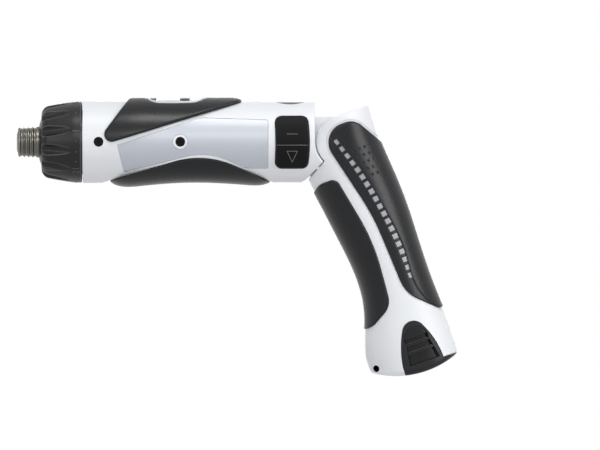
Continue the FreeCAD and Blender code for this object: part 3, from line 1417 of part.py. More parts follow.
# All pieces by name
def body_pieces():
    upper = body_grip_upper()
    lower = body_grip_lower()
    pieces = {
        "body_shell_left": body_shell_left(),
        "body_shell_right": body_shell_right(),
        "body_grip_upper_left": upper,
        "body_grip_upper_right": mirrored(upper),
        "body_grip_lower_left": lower,
        "body_grip_lower_right": mirrored(lower),
        "side_panel": side_panel(),
        "body_screws": body_screws(),
        "rocker_switch": rocker(),
        "speed_slider": speed_slider(),
        "top_button": top_button(),
        "switch_block": switch_block(),
        "circuit_board": circuit_board(),
        "detent_balls": detent_balls(),
        "detent_springs": detent_springs(),
    }
    return pieces


def drive_pieces():
    pieces = {
        "chuck_sleeve": chuck_sleeve(),
        "sleeve_spring": sleeve_spring(),
        "spindle": spindle(),
        "locking_balls": locking_balls(),
        "spindle_clip": spindle_clip(),
        "spindle_bushes": spindle_bushes(),
        "clutch_dial": clutch_dial(),
        "clutch_nut": clutch_nut(),
        "clutch_spring": clutch_spring(),
        "clutch_washer": clutch_washer(),
        "clutch_pins": clutch_pins(),
        "gear_case": gear_case(),
        "ring_gear_output": ring_gear(STAGE_2_GEARS),
        "ring_gear_input": ring_gear(STAGE_1_GEARS),
        "carrier_input": carrier_1(),
        "motor_mount": motor_mount(),
        "motor_can": motor_can(),
        "motor_magnets": motor_magnets(),
        "motor_end_cap": motor_end_cap(),
        "motor_shaft": motor_shaft(),
        "motor_pinion": motor_pinion(),
        "armature": armature(),
    }
    for index, letter in enumerate("abc"):
        pieces["planet_output_" + letter] = planet_gear(STAGE_2_GEARS, index)
        pieces["planet_input_" + letter] = planet_gear(STAGE_1_GEARS, index)
    return pieces


def handle_pieces():
    shell = handle_shell_half()
    back = handle_grip_back()
    front = handle_grip_front()
    inlay = grip_inlay()
    latch = battery_latch()
    strap = strap_hole()
    pieces = {
        "handle_shell_left": shell.cut(strap),
        "handle_shell_right": mirrored(shell).cut(strap),
        "handle_grip_back_left": back,
        "handle_grip_back_right": mirrored(back),
        "handle_grip_front_left": front,
        "handle_grip_front_right": mirrored(front),
        "grip_inlay_left": inlay,
        "grip_inlay_right": mirrored(inlay),
        "pivot_pin": pivot_pin(),
        "terminal_block": terminal_block(),
        "terminal_blades": terminal_blades(),
        "battery_case": battery_case(),
        "battery_cell": battery_cell(),
        "battery_contacts": battery_contacts(),
        "battery_latch_left": latch,
        "battery_latch_right": mirrored(latch),
    }
    return {name: to_rest(shape) for name, shape in pieces.items()}


os.makedirs("parts", exist_ok=True)
all_pieces = {}
all_pieces.update(body_pieces())
all_pieces.update(drive_pieces())
all_pieces.update(handle_pieces())
for name, shape in all_pieces.items():
    shape.exportStep("parts/" + name + ".step")
    print(name, len(shape.Solids), shape.isValid(), round(shape.Volume, 1))
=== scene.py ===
import math
import bmesh
import bpy
from mathutils import Matrix, Vector


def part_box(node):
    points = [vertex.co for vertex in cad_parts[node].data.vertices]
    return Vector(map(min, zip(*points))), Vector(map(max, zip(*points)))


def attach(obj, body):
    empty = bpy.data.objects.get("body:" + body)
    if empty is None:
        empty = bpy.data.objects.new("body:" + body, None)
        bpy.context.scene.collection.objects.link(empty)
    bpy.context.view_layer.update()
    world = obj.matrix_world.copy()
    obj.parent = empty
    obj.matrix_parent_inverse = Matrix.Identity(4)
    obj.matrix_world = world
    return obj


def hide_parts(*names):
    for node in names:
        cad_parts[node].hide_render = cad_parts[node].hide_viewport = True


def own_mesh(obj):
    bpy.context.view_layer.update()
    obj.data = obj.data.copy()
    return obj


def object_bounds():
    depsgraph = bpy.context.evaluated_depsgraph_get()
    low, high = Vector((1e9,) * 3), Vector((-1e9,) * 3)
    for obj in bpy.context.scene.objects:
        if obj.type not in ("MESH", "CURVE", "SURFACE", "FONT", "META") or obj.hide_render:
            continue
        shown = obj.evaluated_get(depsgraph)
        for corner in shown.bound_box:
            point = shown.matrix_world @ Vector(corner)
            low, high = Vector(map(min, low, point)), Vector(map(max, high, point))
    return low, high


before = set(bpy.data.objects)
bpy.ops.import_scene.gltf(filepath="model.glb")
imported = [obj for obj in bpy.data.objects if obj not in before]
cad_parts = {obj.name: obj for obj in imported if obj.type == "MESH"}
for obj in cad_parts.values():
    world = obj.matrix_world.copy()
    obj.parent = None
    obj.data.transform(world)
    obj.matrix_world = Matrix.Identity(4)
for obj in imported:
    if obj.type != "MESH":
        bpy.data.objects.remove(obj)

scene = bpy.context.scene
scene.view_settings.view_transform = "Standard"
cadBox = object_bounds()
mm = 0.001
weldGap = 0.002 * mm  # loose corners closer than this are one corner
print("frame loaded:", len(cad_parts), "nodes")


def srgb(hexText):
    parts = [int(hexText[i:i + 2], 16) / 255 for i in (1, 3, 5)]
    linear = [p / 12.92 if p <= 0.04045 else ((p + 0.055) / 1.055) ** 2.4 for p in parts]
    return (*linear, 1.0)


def addNode(tree, kind, links=None, values=None, **settings):
    node = tree.nodes.new(kind)
    for name, value in settings.items():
        setattr(node, name, value)
    for socket, value in (values or {}).items():
        node.inputs[socket].default_value = value
    for socket, source in (links or {}).items():
        tree.links.new(source, node.inputs[socket])
    return node


def emptyMaterial(name):
    material = bpy.data.materials.new(name)
    material.use_nodes = True
    material.node_tree.nodes.clear()
    return material, material.node_tree


# What all finishes share: the part of a noise's range that counts, and how high a bump is for its width.
noiseRange = {"From Min": 0.3, "From Max": 0.7}
bumpShare = 0.2


def tonesBy(tree, factor, look):
    mix = addNode(tree, "ShaderNodeMix", {"Factor": factor},
                  {"A": srgb(look["colour"]), "B": srgb(look["shade"])}, data_type="RGBA")
    return mix.outputs["Result"]


def tintedBy(tree, factor, tone, tint):
    mix = addNode(tree, "ShaderNodeMix", {"Factor": factor, "A": tone}, {"B": srgb(tint)}, data_type="RGBA")
    return mix.outputs["Result"]


def glossBy(tree, factor, look):
    span = {"To Min": look["rough"] - look["roughSpread"], "To Max": look["rough"] + look["roughSpread"]}
    return addNode(tree, "ShaderNodeMapRange", {"Value": factor}, {**noiseRange, **span}).outputs["Result"]


def reliefBy(tree, height, edge, look, widthMm):
    bump = addNode(tree, "ShaderNodeBump", {"Height": height, "Normal": edge},
                   {"Strength": look["relief"], "Distance": widthMm * mm * bumpShare})
    return bump.outputs["Normal"]


# A moulded plastic or rubber: two close tones in soft clouds, a fine spark-eroded grain in gloss and relief,
# and edges that the tool has rounded a little and that are painted a lighter tone, partly as rubbing wear and
# partly as a painted highlight.
def moulded(name, look):
    material, tree = emptyMaterial(name)
    place = addNode(tree, "ShaderNodeTexCoord").outputs["Object"]
    clouds = addNode(tree, "ShaderNodeTexNoise", {"Vector": place},
                     {"Scale": 1 / (look["cloudMm"] * mm), "Detail": 2.0}).outputs["Fac"]
    grain = addNode(tree, "ShaderNodeTexNoise", {"Vector": place},
                    {"Scale": 1 / (look["grainMm"] * mm), "Detail": 3.0}).outputs["Fac"]
    edge = addNode(tree, "ShaderNodeBevel", None, {"Radius": look["edgeMm"] * mm}, samples=6).outputs["Normal"]
    face = addNode(tree, "ShaderNodeNewGeometry").outputs["Normal"]
    turn = addNode(tree, "ShaderNodeVectorMath", {0: edge, 1: face}, operation="DOT_PRODUCT")
    # edges are painted towards a lighter tone: partly rubbing wear, partly a painted highlight on the rounded
    # edges
    edgeWearAndHighlightMask = addNode(tree, "ShaderNodeMapRange", {"Value": turn.outputs["Value"]},
                   {"From Min": look["edgeWearAndHighlightStart"], "From Max": look["edgeWearAndHighlightTurn"],
                    "To Min": 0.0, "To Max": look["edgeWearAndHighlight"]})
    tone = tintedBy(tree, edgeWearAndHighlightMask.outputs["Result"], tonesBy(tree, clouds, look), look["edgeWearAndHighlightTone"])
    shader = addNode(tree, "ShaderNodeBsdfPrincipled",
                     {"Base Color": tone, "Roughness": glossBy(tree, grain, look),
                      "Normal": reliefBy(tree, grain, edge, look, look["grainMm"])},
                     {"IOR": look["ior"], "Specular IOR Level": look["specular"],
                      "Metallic": look["metallic"]})
    addNode(tree, "ShaderNodeOutputMaterial", {"Surface": shader.outputs["BSDF"]})
    return material


# A machined or drawn metal: fine marks that run round the turning axis, with gloss that wanders along them,
# and painted shade that darkens what lies deep in grooves and hollows.
def machined(name, look):
    material, tree = emptyMaterial(name)
    place = addNode(tree, "ShaderNodeTexCoord").outputs["Object"]
    along = addNode(tree, "ShaderNodeMapping", {"Vector": place},
                    {"Scale": [1 / (size * mm) for size in look["marksMm"]]})
    marks = addNode(tree, "ShaderNodeTexNoise", {"Vector": along.outputs["Vector"]},
                    {"Scale": 1.0, "Detail": 3.0}).outputs["Fac"]
    # painted shade: where little open sky reaches, the tone is mixed towards the shade colour
    openness = addNode(tree, "ShaderNodeAmbientOcclusion", None, {"Distance": look["paintedShadeMm"] * mm}, samples=6)
    depth = addNode(tree, "ShaderNodeMapRange", {"Value": openness.outputs["AO"]},
                    {"From Min": look["paintedShadeFull"], "From Max": look["paintedShadeNone"],
                     "To Min": 1.0, "To Max": 0.0})
    tone = tintedBy(tree, depth.outputs["Result"], tonesBy(tree, marks, look), look["paintedShade"])
    edge = addNode(tree, "ShaderNodeBevel", None, {"Radius": look["edgeMm"] * mm}, samples=4).outputs["Normal"]
    shader = addNode(tree, "ShaderNodeBsdfPrincipled",
                     {"Base Color": tone, "Roughness": glossBy(tree, marks, look),
                      "Normal": reliefBy(tree, marks, edge, look, min(look["marksMm"]))},
                     {"Metallic": 1.0})
    addNode(tree, "ShaderNodeOutputMaterial", {"Surface": shader.outputs["BSDF"]})
    return material


# Grain is under 0.1 mm on the real mouldings; it is drawn at 0.3 to 0.8 mm so that it shows at all.
plainPlastic = {"cloudMm": 15, "grainMm": 0.45, "rough": 0.38, "roughSpread": 0.05, "relief": 0.06,
                "edgeMm": 0.25, "ior": 1.53, "specular": 0.45, "metallic": 0.0,
                "edgeWearAndHighlight": 0.0, "edgeWearAndHighlightStart": 0.995, "edgeWearAndHighlightTurn": 0.8, "edgeWearAndHighlightTone": "#808080"}
plastics = {
    # satin white that holds soft shadows
    "mouldedWhiteAbs": {"colour": "#eaebed", "shade": "#e4e6e9", "cloudMm": 40, "rough": 0.42, "edgeMm": 0.3},
    # near-black rubber with a wide, weak shine; its edges are painted lighter, partly wear and partly painted
    # highlight
    "softGripTpe": {"colour": "#18191c", "shade": "#141517", "cloudMm": 25, "grainMm": 0.6, "rough": 0.3,
                    "relief": 0.12, "edgeMm": 1.0, "ior": 1.5, "specular": 0.27, "edgeWearAndHighlight": 0.6,
                    "edgeWearAndHighlightTone": "#48484c"},
    # half-metallic film that picks up the soft boxes
    "silverPanelFilm": {"colour": "#bcc0c8", "shade": "#b6bac2", "cloudMm": 30, "grainMm": 0.35, "rough": 0.43,
                        "roughSpread": 0.02, "relief": 0.01, "edgeMm": 0.2, "metallic": 0.3},
    # pale squares that stand out of the black grip
    "lightGreyInlayAbs": {"colour": "#a2a3a9", "shade": "#95969c", "cloudMm": 12, "rough": 0.35},
    # deep black whose scoops show by edges painted paler, partly rubbing wear and partly painted highlight
    "blackNylonDial": {"colour": "#131314", "shade": "#0f0f10", "grainMm": 0.5, "rough": 0.36,
                       "roughSpread": 0.06, "relief": 0.08, "edgeMm": 0.8, "specular": 0.3, "edgeWearAndHighlight": 0.85,
                       "edgeWearAndHighlightTurn": 0.93, "edgeWearAndHighlightTone": "#6c6c70"},
    # black whose edges are painted paler as a painted highlight line, partly also rubbing wear
    "blackAbsRocker": {"colour": "#171717", "shade": "#131313", "rough": 0.5, "edgeMm": 0.6, "specular": 0.08,
                       "edgeWearAndHighlight": 1.0, "edgeWearAndHighlightTurn": 0.94, "edgeWearAndHighlightTone": "#626264"},
    # dark grey a step lighter than the grips
    "greyAbsControls": {"colour": "#454548", "shade": "#3e3e41", "rough": 0.4, "specular": 0.3},
    # edges painted lighter, partly rubbing wear and partly painted highlight
    "darkGreyAbsBattery": {"colour": "#222326", "shade": "#1d1e21", "cloudMm": 20, "grainMm": 0.5,
                           "relief": 0.1, "edgeMm": 0.4, "specular": 0.2, "edgeWearAndHighlight": 0.7, "edgeWearAndHighlightTone": "#55565a"},
    "blackAbsLatch": {"colour": "#19191a", "shade": "#141415", "grainMm": 0.5, "relief": 0.1, "edgeMm": 0.4,
                      "specular": 0.2, "edgeWearAndHighlight": 0.8, "edgeWearAndHighlightTone": "#5a5b5e"},
    # dull black lining that paints the shade inside the strap hole
    "strapHoleShadeBlack": {"colour": "#141415", "shade": "#101011", "rough": 0.8, "edgeMm": 0.05,
                         "specular": 0.0},
    # digits painted a little paler than the dial, a painted highlight for the light their raised shapes catch
    "nylonDigitsPaintedHighlight": {"colour": "#4e4e50", "shade": "#434345", "cloudMm": 4, "rough": 0.4, "edgeMm": 0.05,
                          "specular": 0.3},
    # grey paint in the rocker's lines
    "greyPrint": {"colour": "#77787b", "shade": "#6d6e71", "cloudMm": 6, "grainMm": 0.3, "rough": 0.5,
                  "edgeMm": 0.05},
    # dull, flecked inner mouldings
    "glassFilledNylon": {"colour": "#2a2b2c", "shade": "#38393a", "cloudMm": 2, "grainMm": 0.6, "rough": 0.6,
                         "roughSpread": 0.1, "relief": 0.15},
    "greenCircuitBoard": {"colour": "#1d5a34", "shade": "#17492b", "cloudMm": 1.5, "rough": 0.4,
                          "roughSpread": 0.1, "edgeMm": 0.1, "ior": 1.55},
    # shrunk film, glossier than the mouldings
    "blueCellWrap": {"colour": "#2f5d9c", "shade": "#2a5590", "cloudMm": 20, "grainMm": 0.8, "rough": 0.3},
    "ferriteMagnet": {"colour": "#303030", "shade": "#3b3a3a", "cloudMm": 3, "rough": 0.7, "roughSpread": 0.1,
                      "relief": 0.2, "ior": 1.8},
}
# The painted shade in grooves and hollows takes a metal's own shade where it has no other colour; its full and
# none limits are shares of open sky.
plainMetal = {"edgeMm": 0.1, "paintedShadeMm": 0.5, "paintedShadeFull": 0.35, "paintedShadeNone": 0.95}
metals = {
    # the sleeve's painted shade is near black and reaches 2 mm, so it also paints the dial's shadow onto the
    # collar beside the dial
    "turnedSleeveSteel": {"colour": "#7e7c74", "shade": "#727069", "marksMm": (0.5, 9, 9), "rough": 0.32,
                          "roughSpread": 0.015, "relief": 0.01, "edgeMm": 0.15, "paintedShade": "#211f1c",
                          "paintedShadeMm": 2.0},
    "groundSteel": {"colour": "#9b9a97", "shade": "#878683", "marksMm": (0.3, 4, 4), "rough": 0.28,
                    "roughSpread": 0.06, "relief": 0.06},
    "blackenedScrewSteel": {"colour": "#232324", "shade": "#1a1a1b", "marksMm": (0.6, 0.6, 0.6), "rough": 0.42,
                            "roughSpread": 0.08, "relief": 0.1},
    "drawnSpringWire": {"colour": "#a3a3a3", "shade": "#8d8d8d", "marksMm": (0.4, 1.5, 1.5), "rough": 0.25,
                        "roughSpread": 0.05, "relief": 0.05, "edgeMm": 0.05},
    "sinteredBronze": {"colour": "#a9825a", "shade": "#93704d", "marksMm": (0.5, 0.5, 0.5), "rough": 0.45,
                       "roughSpread": 0.1, "relief": 0.15},
    "dieCastAlloy": {"colour": "#a2a3a6", "shade": "#939497", "marksMm": (0.8, 0.8, 0.8), "rough": 0.5,
                     "roughSpread": 0.08, "relief": 0.15, "edgeMm": 0.2},
    "zincPlatedCan": {"colour": "#a5a7ab", "shade": "#94969a", "marksMm": (0.4, 8, 8), "rough": 0.33,
                      "roughSpread": 0.06, "relief": 0.06, "edgeMm": 0.2},
    "woundLaminations": {"colour": "#9a6139", "shade": "#6c5548", "marksMm": (0.5, 4, 4), "rough": 0.42,
                         "roughSpread": 0.08, "relief": 0.2},
    "platedBrass": {"colour": "#c7a865", "shade": "#b6965a", "marksMm": (0.4, 2, 2), "rough": 0.27,
                    "roughSpread": 0.05, "relief": 0.05},
}
finishes = {name: moulded(name, {**plainPlastic, **look}) for name, look in plastics.items()}
for metalName, metalLook in metals.items():
    finishes[metalName] = machined(metalName, {**plainMetal, "paintedShade": metalLook["shade"], **metalLook})
print("materials made:", len(finishes))

nodeFinish = {
    "mouldedWhiteAbs": ["body_shell_left", "body_shell_right", "handle_shell_left", "handle_shell_right"],
    "softGripTpe": ["body_grip_upper_left", "body_grip_upper_right", "body_grip_lower_left",
                    "body_grip_lower_right", "handle_grip_back_left", "handle_grip_back_right",
                    "handle_grip_front_left", "handle_grip_front_right"],
    "silverPanelFilm": ["side_panel"],
    "lightGreyInlayAbs": ["grip_inlay_left", "grip_inlay_right"],
    "blackNylonDial": ["clutch_dial"],
    "blackAbsRocker": ["rocker_switch", "switch_block"],
    "greyAbsControls": ["speed_slider", "top_button"],
    "darkGreyAbsBattery": ["battery_case"],
    "blackAbsLatch": ["battery_latch_left", "battery_latch_right"],
    "glassFilledNylon": ["motor_mount", "motor_end_cap", "terminal_block"],
    "greenCircuitBoard": ["circuit_board"],
    "blueCellWrap": ["battery_cell"],
    "ferriteMagnet": ["motor_magnets"],
    "turnedSleeveSteel": ["chuck_sleeve"],
    "groundSteel": ["spindle", "locking_balls", "detent_balls", "spindle_clip", "clutch_nut", "clutch_washer",
                    "clutch_pins", "ring_gear_output", "ring_gear_input", "carrier_input", "planet_output_a",
                    "planet_output_b", "planet_output_c", "planet_input_a", "planet_input_b",
                    "planet_input_c", "motor_shaft", "motor_pinion", "pivot_pin"],
    "blackenedScrewSteel": ["body_screws"],
    "drawnSpringWire": ["detent_springs", "sleeve_spring", "clutch_spring"],
    "sinteredBronze": ["spindle_bushes"],
    "dieCastAlloy": ["gear_case"],
    "zincPlatedCan": ["motor_can"],
    "woundLaminations": ["armature"],
    "platedBrass": ["terminal_blades", "battery_contacts"],
}


# The frame's triangles are loose: this joins them for shading only and keeps edges over the angle crisp.
def softShading(angle):
    tree = bpy.data.node_groups.new("softShading", "GeometryNodeTree")
    tree.interface.new_socket("Geometry", in_out="INPUT", socket_type="NodeSocketGeometry")
    tree.interface.new_socket("Geometry", in_out="OUTPUT", socket_type="NodeSocketGeometry")
    start = addNode(tree, "NodeGroupInput")
    joined = addNode(tree, "GeometryNodeMergeByDistance", {"Geometry": start.outputs["Geometry"]},
                     {"Distance": weldGap})
    smooth = addNode(tree, "GeometryNodeSetShadeSmooth", {"Geometry": joined.outputs["Geometry"]},
                     {"Shade Smooth": True}, domain="FACE")
    bend = addNode(tree, "GeometryNodeInputMeshEdgeAngle")
    crisp = addNode(tree, "FunctionNodeCompare", {"A": bend.outputs["Unsigned Angle"]},
                    {"B": math.radians(angle)}, data_type="FLOAT", operation="GREATER_THAN")
    edged = addNode(tree, "GeometryNodeSetShadeSmooth",
                    {"Geometry": smooth.outputs["Geometry"], "Selection": crisp.outputs["Result"]},
                    {"Shade Smooth": False}, domain="EDGE")
    addNode(tree, "NodeGroupOutput", {"Geometry": edged.outputs["Geometry"]})
    return tree


shadingGroup = softShading(angle=22)
for finishName, nodeNames in nodeFinish.items():
    for nodeName in nodeNames:
        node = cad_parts[nodeName]
        node.data.materials.clear()
        node.data.materials.append(finishes[finishName])
        shading = node.modifiers.new("softShading", "NODES")
        shading.node_group = shadingGroup
print("CAD nodes finished:", sum(len(names) for names in nodeFinish.values()))

pieceCrease = math.radians(30)  # edges of the added pieces stay crisp over this angle


def addPiece(name, shape, finishName, body):
    bmesh.ops.recalc_face_normals(shape, faces=shape.faces)
    mesh = bpy.data.meshes.new(name)
    shape.to_mesh(mesh)
    shape.free()
    mesh.materials.append(finishes[finishName])
    mesh.shade_smooth()
    mesh.set_sharp_from_angle(angle=pieceCrease)
    piece = bpy.data.objects.new(name, mesh)
    scene.collection.objects.link(piece)
    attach(piece, body)
    return piece


def addTo(whole, shape):
    mesh = bpy.data.meshes.new("stroke")
    shape.to_mesh(mesh)
    shape.free()
    whole.from_mesh(mesh)
    bpy.data.meshes.remove(mesh)


# Cross-recess screws at the bottom of the four screw recesses.
screw = {"headRadius": 2.25 * mm, "headHeight": 1.5 * mm, "edge": 0.35 * mm,
         "shankRadius": 1.2 * mm, "shankEnd": 4.5 * mm,
         "crossHalf": 0.35 * mm, "crossReach": 1.35 * mm, "crossDepth": 0.9 * mm, "crossTaper": 0.8,
         "gridHalf": 3, "gridSteps": 9}


def crossScrew(whole, place, outward):
    half = screw["crossHalf"]
    armStep = (screw["crossReach"] - half) / (screw["gridHalf"] - 1)
    shape = bmesh.new()
    bmesh.ops.create_grid(shape, x_segments=screw["gridSteps"], y_segments=screw["gridSteps"],
                          size=screw["gridHalf"])
    for vert in shape.verts:  # the middle third of the grid's lines becomes the cross
        for axis in (0, 1):
            line = abs(vert.co[axis])
            vert.co[axis] = math.copysign(min(line, 1) * half + max(line - 1, 0) * armStep, vert.co[axis])
    crossFaces = [face for face in shape.faces
                  if min(abs(c) for c in face.calc_center_median()[:2]) < half]
    loop = [edge for edge in shape.edges if edge.is_boundary]
    sunk = bmesh.ops.extrude_face_region(shape, geom=crossFaces)["geom"]
    sunkVerts = [item for item in sunk if isinstance(item, bmesh.types.BMVert)]
    bmesh.ops.translate(shape, verts=sunkVerts, vec=(0, 0, -screw["crossDepth"]))
    bmesh.ops.scale(shape, verts=sunkVerts, vec=(screw["crossTaper"], screw["crossTaper"], 1))
    bmesh.ops.delete(shape, geom=crossFaces, context="FACES")
    for radius, depth in ((screw["headRadius"] - screw["edge"], 0.0),
                          (screw["headRadius"], screw["edge"]),
                          (screw["headRadius"], screw["headHeight"]),
                          (screw["shankRadius"], screw["headHeight"]),
                          (screw["shankRadius"], screw["shankEnd"])):
        ring = bmesh.ops.extrude_edge_only(shape, edges=loop)["geom"]
        loop = [item for item in ring if isinstance(item, bmesh.types.BMEdge)]
        for vert in [item for item in ring if isinstance(item, bmesh.types.BMVert)]:
            flat = Vector((vert.co.x, vert.co.y, 0)).normalized() * radius
            vert.co = (flat.x, flat.y, -depth)
    bmesh.ops.edgeloop_fill(shape, edges=loop)
    turn = Matrix.Rotation(math.radians(90 if outward < 0 else -90), 4, "X")
    bmesh.ops.transform(shape, matrix=Matrix.Translation(place) @ turn, verts=shape.verts)
    addTo(whole, shape)


screwLow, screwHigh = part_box("body_screws")
screwShape = bmesh.new()
for screwX in (screwLow.x + screw["headRadius"], screwHigh.x - screw["headRadius"]):
    for outward, faceY in ((-1, screwLow.y), (1, screwHigh.y)):
        crossScrew(screwShape, Vector((screwX, faceY, 0)), outward)
bodyScrews = addPiece("bodyScrews", screwShape, "blackenedScrewSteel", "body")
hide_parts("body_screws")
print("screws made")


# Springs that a sliding piece presses: each is copied from the frame as it is and welded for shading. The
# joint, travel and fixed end (the first or the second end along the tool) are listed for each but not used
# here.
pressedSprings = {
    "sleeveSpring": {"node": "sleeve_spring", "body": "output_spindle", "joint": "sleeve_slide",
                     "travel": 4.0 * mm, "fixedEnd": 0},
    "clutchSpring": {"node": "clutch_spring", "body": "body", "joint": "clutch_nut_slide",
                     "travel": 2.51 * mm, "fixedEnd": 1},
}
for springName, spring in pressedSprings.items():
    springShape = bmesh.new()
    springShape.from_mesh(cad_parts[spring["node"]].data)
    bmesh.ops.remove_doubles(springShape, verts=springShape.verts, dist=weldGap)
    pressed = addPiece(springName, springShape, "drawnSpringWire", spring["body"])
    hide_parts(spring["node"])
    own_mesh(pressed)
print("springs made")


# A black lining put in the strap hole as painted shade, to keep the hole dark; the hole slants through the
# handle's lower corner. Its ends follow the shell's skin, which is found by a probe a little wider than the
# hole.
holeShadeTube = {"radius": 1.62 * mm, "wall": 0.6 * mm, "below": 0.08 * mm, "outside": 20 * mm, "probe": 1.06,
          "sides": 40, "middle": (173.48 * mm, 0, -108.25 * mm), "axis": (0.1308, 0.9903, 0.0476)}
holeShadeTubeShape = bmesh.new()
bmesh.ops.create_cone(holeShadeTubeShape, cap_ends=False, segments=holeShadeTube["sides"], radius1=holeShadeTube["radius"],
                      radius2=holeShadeTube["radius"], depth=holeShadeTube["outside"])
lean = Vector(holeShadeTube["axis"]).to_track_quat("Z", "Y").to_matrix().to_4x4()
holePlace = Matrix.Translation(holeShadeTube["middle"]) @ lean
bpy.context.view_layer.update()
for vert in holeShadeTubeShape.verts:
    side = -1 if vert.co.z < 0 else 1
    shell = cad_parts["handle_shell_left" if side < 0 else "handle_shell_right"]
    start = Vector((vert.co.x * holeShadeTube["probe"], vert.co.y * holeShadeTube["probe"], side * holeShadeTube["outside"]))
    skin = shell.ray_cast(holePlace @ start, lean @ Vector((0, 0, -side)))[1]
    vert.co.z = (holePlace.inverted() @ skin).z - side * holeShadeTube["below"]
bmesh.ops.solidify(holeShadeTubeShape, geom=holeShadeTubeShape.faces[:], thickness=holeShadeTube["wall"])
bmesh.ops.transform(holeShadeTubeShape, matrix=holePlace, verts=holeShadeTubeShape.verts)
addPiece("strapHoleShadeTube", holeShadeTubeShape, "strapHoleShadeBlack", "handle")
print("strap hole lined")


# Raised lines on the rocker: a dash above the divider and an outlined triangle below it.
rockerLine = {"width": 0.22 * mm, "rise": 0.05 * mm, "sink": 0.25 * mm, "step": 0.6 * mm,
              "surfaceRadius": -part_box("rocker_switch")[0].y, "middleX": 132.1 * mm, "half": 2.5 * mm,
              "dashZ": 3.75 * mm, "dividerZ": -1.6 * mm, "dividerHalf": 7.4 * mm,
              "triangleTop": -4.5 * mm, "triangleTip": -9.7 * mm}


def rockerStroke(whole, start, end):
    length = (end - start).length
    shape = bmesh.new()
    bar = bmesh.ops.create_cube(shape, size=1)["verts"]
    bmesh.ops.scale(shape, verts=bar, vec=(length + rockerLine["width"], 1, rockerLine["width"]))
    longEdges = [edge for edge in shape.edges
                 if abs(edge.verts[0].co.x - edge.verts[1].co.x) > length / 2]
    cuts = max(1, round(length / rockerLine["step"]))
    bmesh.ops.subdivide_edges(shape, edges=longEdges, cuts=cuts, use_grid_fill=True)
    slope = math.atan2(end.y - start.y, end.x - start.x)
    bmesh.ops.rotate(shape, verts=shape.verts, cent=(0, 0, 0), matrix=Matrix.Rotation(-slope, 3, "Y"))
    middle = (start + end) / 2
    for vert in shape.verts:
        x = vert.co.x + middle.x
        z = vert.co.z + middle.y
        surface = math.sqrt(rockerLine["surfaceRadius"] ** 2 - z * z)
        offset = rockerLine["rise"] if vert.co.y < 0 else -rockerLine["sink"]
        vert.co = (x, -surface - offset, z)
    addTo(whole, shape)


def acrossRocker(half, z):
    return Vector((rockerLine["middleX"] - half, z)), Vector((rockerLine["middleX"] + half, z))


rockerShape = bmesh.new()
rockerStroke(rockerShape, *acrossRocker(rockerLine["half"], rockerLine["dashZ"]))
rockerStroke(rockerShape, *acrossRocker(rockerLine["dividerHalf"], rockerLine["dividerZ"]))
corners = [*acrossRocker(rockerLine["half"], rockerLine["triangleTop"]),
           Vector((rockerLine["middleX"], rockerLine["triangleTip"]))]
for index, corner in enumerate(corners):
    rockerStroke(rockerShape, corner, corners[(index + 1) % len(corners)])
addPiece("rockerMarks", rockerShape, "greyPrint", "rocker")
print("rocker marks made")


# Moulded numbers and points round the dial's rear band, read along its circumference.
dialMark = {"bandX": 28.6 * mm, "radius": 19.35 * mm, "firstAngle": 15.7, "numbers": (1, 5, 9, 13, 17, 21),
            "digitHeight": 3.3 * mm, "capitalShare": 0.72, "rise": 0.2 * mm, "boldness": 0.06 * mm,
            "curveSteps": 4, "weld": 0.001 * mm,
            "pointsBetween": 3, "pointRadius": 0.42 * mm, "pointFlat": 0.5, "pointSides": 12, "pointRings": 6}


def bandPlace(around, along, out, angle):
    turn = math.radians(angle) + around / dialMark["radius"]
    far = dialMark["radius"] + out
    return Vector((dialMark["bandX"] - along, -far * math.cos(turn), far * math.sin(turn)))


def dialNumber(whole, text, angle):
    curve = bpy.data.curves.new("digits", "FONT")
    curve.body = str(text)
    curve.size = dialMark["digitHeight"] / dialMark["capitalShare"]  # a capital is lower than the font's size
    curve.align_x = "CENTER"
    curve.align_y = "CENTER"
    curve.extrude = dialMark["rise"]
    curve.offset = dialMark["boldness"]
    curve.resolution_u = dialMark["curveSteps"]  # more steps fold over in tight bends
    holder = bpy.data.objects.new("digits", curve)
    scene.collection.objects.link(holder)
    bpy.context.view_layer.update()
    mesh = bpy.data.meshes.new_from_object(holder.evaluated_get(bpy.context.evaluated_depsgraph_get()))
    shape = bmesh.new()
    shape.from_mesh(mesh)
    bmesh.ops.remove_doubles(shape, verts=shape.verts, dist=dialMark["weld"])
    for vert in shape.verts:
        vert.co = bandPlace(vert.co.x, vert.co.y, vert.co.z, angle)
    addTo(whole, shape)
    bpy.data.objects.remove(holder)
    bpy.data.curves.remove(curve)
    bpy.data.meshes.remove(mesh)


def dialPoint(whole, angle):
    dot = bmesh.ops.create_uvsphere(whole, u_segments=dialMark["pointSides"],
                                    v_segments=dialMark["pointRings"], radius=dialMark["pointRadius"])["verts"]
    bmesh.ops.scale(whole, verts=dot, vec=(1, 1, dialMark["pointFlat"]))
    for vert in dot:
        vert.co = bandPlace(vert.co.x, vert.co.y, vert.co.z, angle)


dialShape = bmesh.new()
pitch = 360 / len(dialMark["numbers"])
for index, number in enumerate(dialMark["numbers"]):
    angle = dialMark["firstAngle"] + pitch * index
    dialNumber(dialShape, number, angle)
    for point in range(1, dialMark["pointsBetween"] + 1):
        dialPoint(dialShape, angle + pitch * point / (dialMark["pointsBetween"] + 1))
# the digits and points get the paler finish, a painted highlight on their raised shapes
addPiece("dialMarks", dialShape, "nylonDigitsPaintedHighlight", "dial")
print("dial marks made")


